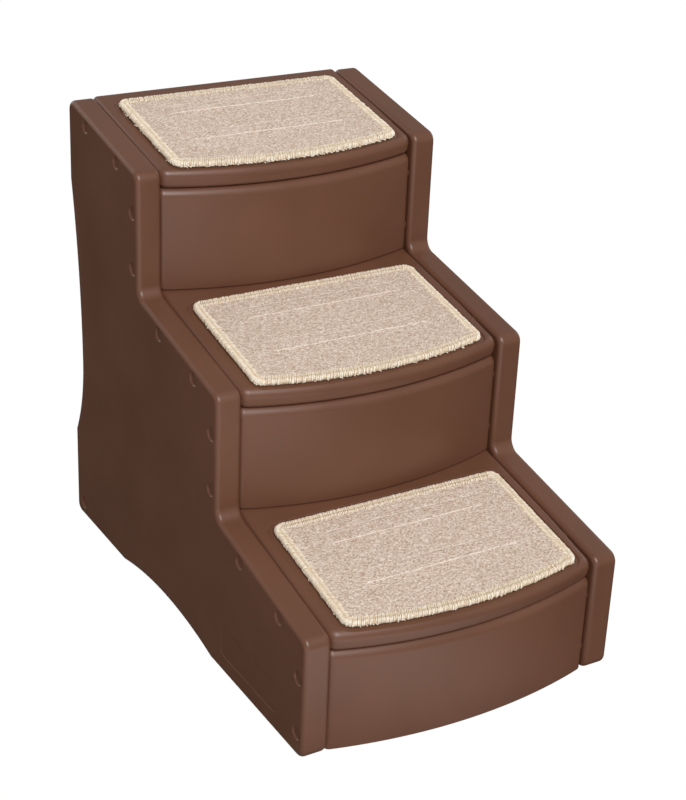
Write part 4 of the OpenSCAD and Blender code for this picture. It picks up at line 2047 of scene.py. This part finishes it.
class Effect(Enum):
    """The surface effects that several finishes share, each built once as a node group."""

    GRAIN = "moulded_grain"
    FLECK = "yarn_fleck"
    WEAVE = "plain_weave"

    def tree(self) -> NodeTree:
        """Finds the effect's node group, or builds it when first asked for.

        Returns:
            The node group.
        """
        made = bpy.data.node_groups.get(self.value)
        if made is None:
            made = bpy.data.node_groups.new(self.value, "ShaderNodeTree")
            builders = {
                Effect.GRAIN: self.build_grain, Effect.FLECK: self.build_fleck,
                Effect.WEAVE: self.build_weave}
            builders[self](made)
        return made

    @staticmethod
    def sockets(
            tree: NodeTree, inputs: Mapping[str, float | None],
            outputs: Sequence[str]) -> tuple[Graph, Mapping[str, NodeSocket]]:
        """Gives a group its named sockets.

        Args:
            tree: The group.
            inputs: Names of the inputs with their values, None for a vector.
            outputs: Names of the outputs.

        Returns:
            The group's graph and what it is given.
        """
        for name, value in inputs.items():
            kind = "NodeSocketVector" if value is None else "NodeSocketFloat"
            socket = tree.interface.new_socket(name=name, in_out="INPUT", socket_type=kind)
            if value is not None:
                socket.default_value = value
        for name in outputs:
            tree.interface.new_socket(name=name, in_out="OUTPUT", socket_type="NodeSocketFloat")
        return Graph(tree), tree.nodes.new("NodeGroupInput").outputs

    @staticmethod
    def finish(graph: Graph, results: Sequence[NodeSocket]) -> None:
        """Wires a group's results to its outputs.

        Args:
            graph: The group's graph.
            results: What goes to the outputs, in their order.
        """
        end = graph.tree.nodes.new("NodeGroupOutput")
        for number, result in enumerate(results):
            graph.tree.links.new(result, end.inputs[number])

    @staticmethod
    def build_grain(tree: NodeTree) -> None:
        """Builds fine moulded grain over slow unevenness.

        Args:
            tree: The empty group.
        """
        g, given = Effect.sockets(
            tree, {"Vector": None, "Grain Scale": 1300.0, "Patch Scale": 14.0}, ("Height", "Patch"))
        grain, patch = (
            g.add("TexNoise", {
                "Vector": given["Vector"], "Scale": given[scale], "Detail": detail,
                "Roughness": rough}).outputs["Fac"]
            for scale, detail, rough in (("Grain Scale", 3.0, 0.65), ("Patch Scale", 2.0, 0.5)))
        Effect.finish(g, (grain, g.spread(patch, (0.3, 0.0), (0.7, 1.0))))

    @staticmethod
    def build_fleck(tree: NodeTree) -> None:
        """Builds small loops or fibres, each with a tone of its own and a rounded top.

        Args:
            tree: The empty group.
        """
        g, given = Effect.sockets(
            tree, {"Vector": None, "Scale": 900.0, "Contrast": 1.0}, ("Fleck", "Height"))
        cells = g.add("TexVoronoi", {"Vector": given["Vector"], "Scale": given["Scale"], "Randomness": 1.0})
        tone = g.add("SeparateColor", {0: cells.outputs["Color"]}).outputs[0]
        strong = g.maths("MULTIPLY", g.maths("SUBTRACT", tone, 0.5), given["Contrast"])
        fleck = g.spread(strong, (-0.5, 0.0), (0.5, 1.0))
        Effect.finish(g, (fleck, g.spread(cells.outputs["Distance"], (0.0, 1.0), (0.8, 0.0))))

    @staticmethod
    def build_weave(tree: NodeTree) -> None:
        """Builds a plain weave of threads along X and across it.

        Args:
            tree: The empty group.
        """
        g, given = Effect.sockets(tree, {"Vector": None, "Scale": 900.0}, ("Thread", "Height"))
        waves = [
            g.add("TexWave", {
                "Vector": given["Vector"], "Scale": given["Scale"], "Distortion": 0.6,
                "Detail": 1.0}, wave_type="BANDS", bands_direction=direction).outputs["Fac"]
            for direction in ("X", "Y")]
        Effect.finish(g, (g.maths("MAXIMUM", *waves), g.maths("ADD", *waves)))


@dataclass(frozen=True)
class Finish(ABC):
    """A finish of the stairs, made into a material when first used."""

    name: str
    colour: Colour

    def material(self) -> Material:
        """Finds the finish's material, or makes it when first asked for.

        Returns:
            The material.
        """
        made = bpy.data.materials.get(self.name)
        if made is None:
            made = bpy.data.materials.new(self.name)
            graph = Graph.of(made)
            skin = self.dress(graph)
            graph.add("OutputMaterial", {"Surface": skin.outputs["BSDF"]})
        return made

    @abstractmethod
    def dress(self, g: Graph) -> Node:
        """Builds the nodes and returns the shader."""

    def tint(self, factor: float) -> Quad:
        """The finish's colour made lighter or darker."""
        return (*(min(1.0, part * factor) for part in self.colour), 1.0)

    @staticmethod
    def effect(g: Graph, kind: Effect, inputs: Mapping[str, object]) -> Mapping[str, NodeSocket]:
        """Places a shared effect in a material.

        Args:
            g: The material's graph.
            kind: The effect.
            inputs: Values, or sockets to link, for its inputs.

        Returns:
            Its outputs by name.
        """
        node = g.tree.nodes.new("ShaderNodeGroup")
        node.node_tree = kind.tree()
        for key, value in inputs.items():
            g.feed(node.inputs[key], value)
        return node.outputs

    def fleck(
            self, g: Graph, scale: float, stretch: Triple = (1.0, 1.0, 1.0),
            contrast: float = 1.0) -> Mapping[str, NodeSocket]:
        """Places the loops or fibres of a yarn in a material."""
        spot = self.place_of(g, stretch)
        return self.effect(g, Effect.FLECK, {"Vector": spot, "Scale": scale, "Contrast": contrast})

    @staticmethod
    def place_of(g: Graph, stretch: Triple = (1.0, 1.0, 1.0)) -> NodeSocket:
        """Object coordinates, stretched for patterns that run along the stairs."""
        spot = g.add("TexCoord").outputs["Object"]
        return g.add("Mapping", {"Vector": spot, "Scale": stretch}).outputs[0]


@dataclass(frozen=True)
class MouldedPlastic(Finish):
    """Satin moulded plastic with a fine grain and slow unevenness of tone and gloss."""

    roughness: Point = (0.33, 0.42)
    variation: float = 0.07
    grain_depth: float = 0.00005
    grain_strength: float = 0.35
    patch_scale: float = 9.0
    grain_scale: float = 1300.0
    specular: float = 0.5

    def dress(self, g: Graph) -> Node:
        """Builds the nodes.

        Args:
            g: The material's graph.

        Returns:
            The shader.
        """
        skin = self.effect(g, Effect.GRAIN, {
            "Vector": self.place_of(g), "Grain Scale": self.grain_scale, "Patch Scale": self.patch_scale})
        colour = g.blend(skin["Patch"], self.tint(1.0 - self.variation), self.tint(1.0 + self.variation))
        gloss = g.spread(skin["Patch"], (0.0, self.roughness[0]), (1.0, self.roughness[1]))
        return g.add("BsdfPrincipled", {
            "Base Color": colour, "Roughness": gloss,
            "Normal": g.bump(skin["Height"], self.grain_strength, self.grain_depth),
            "Specular IOR Level": self.specular})


@dataclass(frozen=True)
class SoftFinish(Finish):
    """A dull finish of yarn or cloth. The bump is (strength, depth) and the sheen (weight, roughness)."""

    bump: Point = (0.6, 0.0005)
    roughness: float = 0.95
    specular: float = 0.15
    sheen: Point = (0.15, 0.6)

    def shade(self, g: Graph, colour: object, height: NodeSocket) -> Node:
        """Builds the shader.

        Args:
            g: The material's graph.
            colour: Colour of the surface.
            height: Height of the yarn.

        Returns:
            The shader.
        """
        return g.add("BsdfPrincipled", {
            "Base Color": colour, "Roughness": self.roughness, "Normal": g.bump(height, *self.bump),
            "Specular IOR Level": self.specular, "Sheen Weight": self.sheen[0],
            "Sheen Roughness": self.sheen[1]})


@dataclass(frozen=True)
class LoopPile(SoftFinish):
    """Short loop pile: flecked yarn in rows that run across the mat."""

    light: Colour = (1.0, 0.90, 0.80)
    dark: Colour = (0.33, 0.18, 0.09)
    light_share: float = 0.9
    dark_share: float = 0.85
    loop_scale: float = 1250.0
    loop_stretch: Triple = (0.45, 1.0, 0.7)
    fibre_scale: float = 2.4
    fibre_stretch: Triple = (0.3, 1.0, 1.0)
    fibre_share: float = 0.4
    fibre_range: float = 0.7
    fibre_height: float = 0.4
    fibre_tone: float = 0.72
    patch_scales: Point = (60.0, 40.0)
    patch_stretch: Triple = (0.5, 1.0, 1.0)
    patch_share: float = 0.12
    patch_tone: float = 0.8

    def dress(self, g: Graph) -> Node:
        """Builds the nodes.

        Args:
            g: The material's graph.

        Returns:
            The shader.
        """
        loops = self.fleck(g, self.loop_scale, self.loop_stretch)
        fibres = self.fleck(g, self.loop_scale * self.fibre_scale, self.fibre_stretch)
        slow = self.effect(g, Effect.GRAIN, {
            "Vector": self.place_of(g, self.patch_stretch), "Grain Scale": self.patch_scales[0],
            "Patch Scale": self.patch_scales[1]})
        is_dull = g.spread(loops["Fleck"], (0.0, self.dark_share), (0.5, 0.0))
        dull = g.blend(is_dull, solid(self.colour), solid(self.dark))
        is_bright = g.spread(loops["Fleck"], (0.5, 0.0), (1.0, self.light_share))
        bright = g.blend(is_bright, dull, solid(self.light))
        is_worn = g.spread(fibres["Fleck"], (0.0, self.fibre_share), (self.fibre_range, 0.0))
        worn = g.blend(is_worn, bright, self.tint(self.fibre_tone))
        is_patch = g.spread(slow["Patch"], (0.0, 0.0), (1.0, self.patch_share))
        mixed = g.blend(is_patch, worn, self.tint(self.patch_tone))
        height = g.maths("ADD", loops["Height"], g.maths("MULTIPLY", fibres["Height"], self.fibre_height))
        return self.shade(g, mixed, height)


@dataclass(frozen=True)
class WoundYarn(SoftFinish):
    """Soft yarn with some darker golden strands, and golden painted shade where the overlocked edge lies deep
    between its ridges and wraps.
    """

    # Darker golden tone of some strands, also the colour of the edging's painted shade.
    deep: Colour = (0.60, 0.40, 0.20)
    scale: float = 1500.0
    strand_scale: float = 0.3
    fibre_share: float = 0.6
    fibre_tones: Point = (1.06, 0.74)
    strand_from: float = 0.55
    strand_share: float = 0.35
    valley: bool = False
    valley_share: float = 0.9
    bump: Point = (0.6, 0.0003)
    roughness: float = 0.9
    specular: float = 0.2
    sheen: Point = (0.15, 0.5)

    def dress(self, g: Graph) -> Node:
        """Builds the nodes.

        Args:
            g: The material's graph.

        Returns:
            The shader.
        """
        fibre = self.fleck(g, self.scale)
        strand = self.fleck(g, self.scale * self.strand_scale)
        light, dark = (self.tint(tone) for tone in self.fibre_tones)
        colour = g.blend(g.spread(fibre["Fleck"], (0.0, self.fibre_share), (0.5, 0.0)), light, dark)
        is_strand = g.spread(strand["Fleck"], (self.strand_from, 0.0), (1.0, self.strand_share))
        colour = g.blend(is_strand, colour, solid(self.deep))
        # Painted shade: the edging turns golden where it lies deep between its ridges and wraps.
        if self.valley:
            low = g.add("Attribute", attribute_name=PAINTED_SHADE).outputs["Fac"]
            colour = g.blend(g.maths("MULTIPLY", low, self.valley_share), colour, solid(self.deep))
        return self.shade(g, colour, fibre["Height"])


@dataclass(frozen=True)
class WovenTape(SoftFinish):
    """A plain woven ground with a nap, as on the tapes and on the backing of the mats."""

    dark: float = 0.6
    light: float = 1.3
    scale: float = 260.0
    nap: float = 1400.0
    nap_contrast: float = 0.9
    nap_share: float = 0.4
    bump: Point = (0.6, 0.0004)
    roughness: float = 0.88
    specular: float = 0.25
    sheen: Point = (0.2, 0.5)

    def dress(self, g: Graph) -> Node:
        """Builds the nodes.

        Args:
            g: The material's graph.

        Returns:
            The shader.
        """
        ground = self.effect(g, Effect.WEAVE, {"Vector": self.place_of(g), "Scale": self.scale})
        fuzz = self.fleck(g, self.nap, contrast=self.nap_contrast)
        colour = g.blend(ground["Thread"], self.tint(self.dark), self.tint(1.0))
        is_nap = g.spread(fuzz["Fleck"], (0.5, 0.0), (1.0, self.nap_share))
        colour = g.blend(is_nap, colour, self.tint(self.light))
        return self.shade(g, colour, g.maths("ADD", ground["Height"], fuzz["Height"]))


PLASTIC = MouldedPlastic("satin_brown_moulding", (0.144, 0.0588, 0.0315))
RUBBER = MouldedPlastic(
    "matt_grip_rubber", (0.012, 0.011, 0.011), roughness=(0.72, 0.85), variation=0.15, grain_depth=0.0002,
    patch_scale=60.0, grain_scale=900.0, specular=0.3)
PILE = LoopPile("loop_pile", (0.72, 0.555, 0.44))
EDGING = WoundYarn("edging_yarn", (0.98, 0.86, 0.72), valley=True)
THREAD = WoundYarn(
    "sewing_thread", (0.95, 0.87, 0.79), deep=(0.7, 0.55, 0.4), scale=2600.0, bump=(0.6, 0.00015))
BACKING = WovenTape("carpet_backing", (0.52, 0.44, 0.33), dark=0.55, scale=150.0)
HOOK = WovenTape("woven_hook", (0.022, 0.014, 0.010), dark=0.5)
LOOP = WovenTape("brushed_loop", (0.52, 0.43, 0.32), dark=0.7)


# ---- stage

def towards(azimuth: float, height: float) -> Vector:
    """The direction at an angle round the stairs from their front and at a height above the floor."""
    return Vector((
        math.sin(azimuth) * math.cos(height), -math.cos(azimuth) * math.cos(height), math.sin(height)))


@dataclass(frozen=True)
class Lamp:
    """A soft square lamp that looks at the middle of the stairs.

    Args:
        name: Name of the lamp.
        azimuth: Angle round the stairs from their front, in degrees.
        height: Angle above the floor, in degrees.
        distance: Distance from the middle of the stairs.
        power: Power in watts.
        size: Length of a side.
        aim: The middle of the stairs.
    """

    name: str
    azimuth: float
    height: float
    distance: float
    power: float
    size: float = 2.5
    aim: Triple = (0.0, 0.0, 0.25)

    def hang(self) -> None:
        """Hangs the lamp."""
        data = bpy.data.lights.new(self.name, "AREA")
        data.shape, data.size, data.energy = "SQUARE", self.size, self.power
        lamp = linked(self.name, data)
        back = towards(self.azimuth * DEGREE, self.height * DEGREE)
        lamp.location = Vector(self.aim) + back * self.distance
        lamp.rotation_euler = (-back).to_track_quat("-Z", "Y").to_euler()


@dataclass(frozen=True)
class Studio:
    """The pale floor, the soft lights and the camera."""

    yaw: float = -28.0157 * DEGREE
    pitch: float = 23.5776 * DEGREE
    roll: float = -0.8967 * DEGREE
    aim: Triple = (0.0, -0.032584, 0.2935)
    offset: Triple = (0.126971, 0.041619, 1.956642)
    lens: float = 74.02
    sensor: float = 36.0
    shift: Point = (0.12875, -0.0625)
    clip: Point = (0.1, 50.0)
    gleam_x: Point = (0.25, -0.05)
    gleam_y: Point = (-0.25, -0.50)
    gleam: float = 1.14
    floor_size: float = 6.0
    floor_colour: Colour = (0.8, 0.8, 0.8)
    floor_glow: float = 0.03
    floor_white: float = 0.96
    floor_shine: float = 1.03
    sky: float = 0.32
    lamps: tuple[Lamp, ...] = (
        Lamp("key_light", -15.0, 45.0, 5.0, 190.0), Lamp("side_light", 98.0, 24.0, 4.0, 16.0),
        Lamp("back_light", 195.0, 26.0, 4.0, 24.0))

    def camera(self) -> Object:
        """Places the camera at the photographed angle.

        Returns:
            The camera.
        """
        back = towards(self.yaw, self.pitch)
        forward = -back
        right = forward.cross(Vector((0.0, 0.0, 1.0))).normalized()
        down = forward.cross(right)
        c, s = math.cos(self.roll), math.sin(self.roll)
        right, down = c * right + s * down, -s * right + c * down
        along, below, away = self.offset
        spot = Vector(self.aim) - (right * along + down * below + forward * away)
        lens = bpy.data.cameras.new("camera")
        lens.lens, lens.sensor_width = self.lens, self.sensor
        lens.shift_x, lens.shift_y = self.shift
        lens.clip_start, lens.clip_end = self.clip
        camera = linked("camera", lens)
        turn = Matrix((right, -down, -forward)).transposed().to_4x4()
        camera.matrix_world = Matrix.Translation(spot) @ turn
        bpy.context.scene.camera = camera
        return camera

    def floor(self) -> Object:
        """Lays a white floor that keeps a faint shadow.

        Returns:
            The floor.
        """
        mesh = bmesh.new()
        bmesh.ops.create_grid(mesh, x_segments=1, y_segments=1, size=self.floor_size)
        floor = made_object(mesh, "floor")
        floor.data.materials.append(self.floor_paint())
        return floor

    def floor_paint(self) -> Material:
        """Makes a paint that looks white, keeps a faint shadow and gleams before the front of the stairs.

        Returns:
            The paint.
        """
        paint = bpy.data.materials.new("white_floor")
        g = Graph.of(paint)
        path = g.add("LightPath")
        spot = g.add("SeparateXYZ", {0: g.add("TexCoord").outputs["Object"]})
        left, near = (
            g.add("MapRange", {
                "Value": spot.outputs[axis], "From Min": span[0], "From Max": span[1]},
                interpolation_type="SMOOTHSTEP").outputs[0]
            for axis, span in (("X", self.gleam_x), ("Y", self.gleam_y)))
        gleam = g.maths("MULTIPLY", g.maths("MULTIPLY", left, near), self.gleam)
        mirrored = g.maths("ADD", gleam, self.floor_glow)
        seen = path.outputs["Is Camera Ray"]
        strength = g.maths(
            "MAXIMUM", g.maths("MULTIPLY", seen, self.floor_shine),
            g.maths("MULTIPLY", mirrored, g.maths("SUBTRACT", 1.0, seen)))
        bounce = g.maths("MAXIMUM", path.outputs["Is Glossy Ray"], path.outputs["Is Transmission Ray"])
        share = g.maths("MAXIMUM", g.maths("MULTIPLY", seen, self.floor_white), bounce)
        matt = g.add("BsdfDiffuse", {"Color": solid(self.floor_colour)})
        glow = g.add("Emission", {"Color": WHITE, "Strength": strength})
        mix = g.add("MixShader", {0: share, 1: matt.outputs[0], 2: glow.outputs[0]})
        g.add("OutputMaterial", {"Surface": mix.outputs[0]})
        return paint

    def world(self) -> None:
        """Surrounds the scene with white that only the camera and glass see at full strength."""
        world = bpy.data.worlds.new("studio")
        bpy.context.scene.world = world
        g = Graph.of(world)
        path = g.add("LightPath")
        seen = g.maths("MAXIMUM", path.outputs["Is Camera Ray"], path.outputs["Is Transmission Ray"])
        sky = g.add("Background", {"Color": WHITE, "Strength": g.maths("MAXIMUM", seen, self.sky)})
        g.add("OutputWorld", {"Surface": sky.outputs[0]})

    def build(self) -> None:
        """Sets up everything round the stairs."""
        self.camera()
        self.floor()
        self.world()
        for lamp in self.lamps:
            lamp.hang()
        bpy.context.scene.view_settings.view_transform = "Standard"


def dress_grip_pads() -> None:
    """Gives the grip pads, whose solids stay as they are, their rubber."""
    for name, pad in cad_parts.items():
        if name.endswith("_grip_pad"):
            pad.data.materials.clear()
            pad.data.materials.append(RUBBER.material())
            LOG.info("%s: keeps its solid, in rubber", name)


def main() -> None:
    """Builds the stairs piece by piece and sets up the studio."""
    logging.basicConfig(level=logging.INFO, format="%(name)s: %(message)s")
    for side in Side:
        SidePanel(side=side).build()
    for step in Step:
        Tread(step=step).build()
        Riser(step=step).build()
        Mat(step).build()
    RearBrace().build()
    dress_grip_pads()
    Studio().build()


if __name__ == "__main__":
    main()
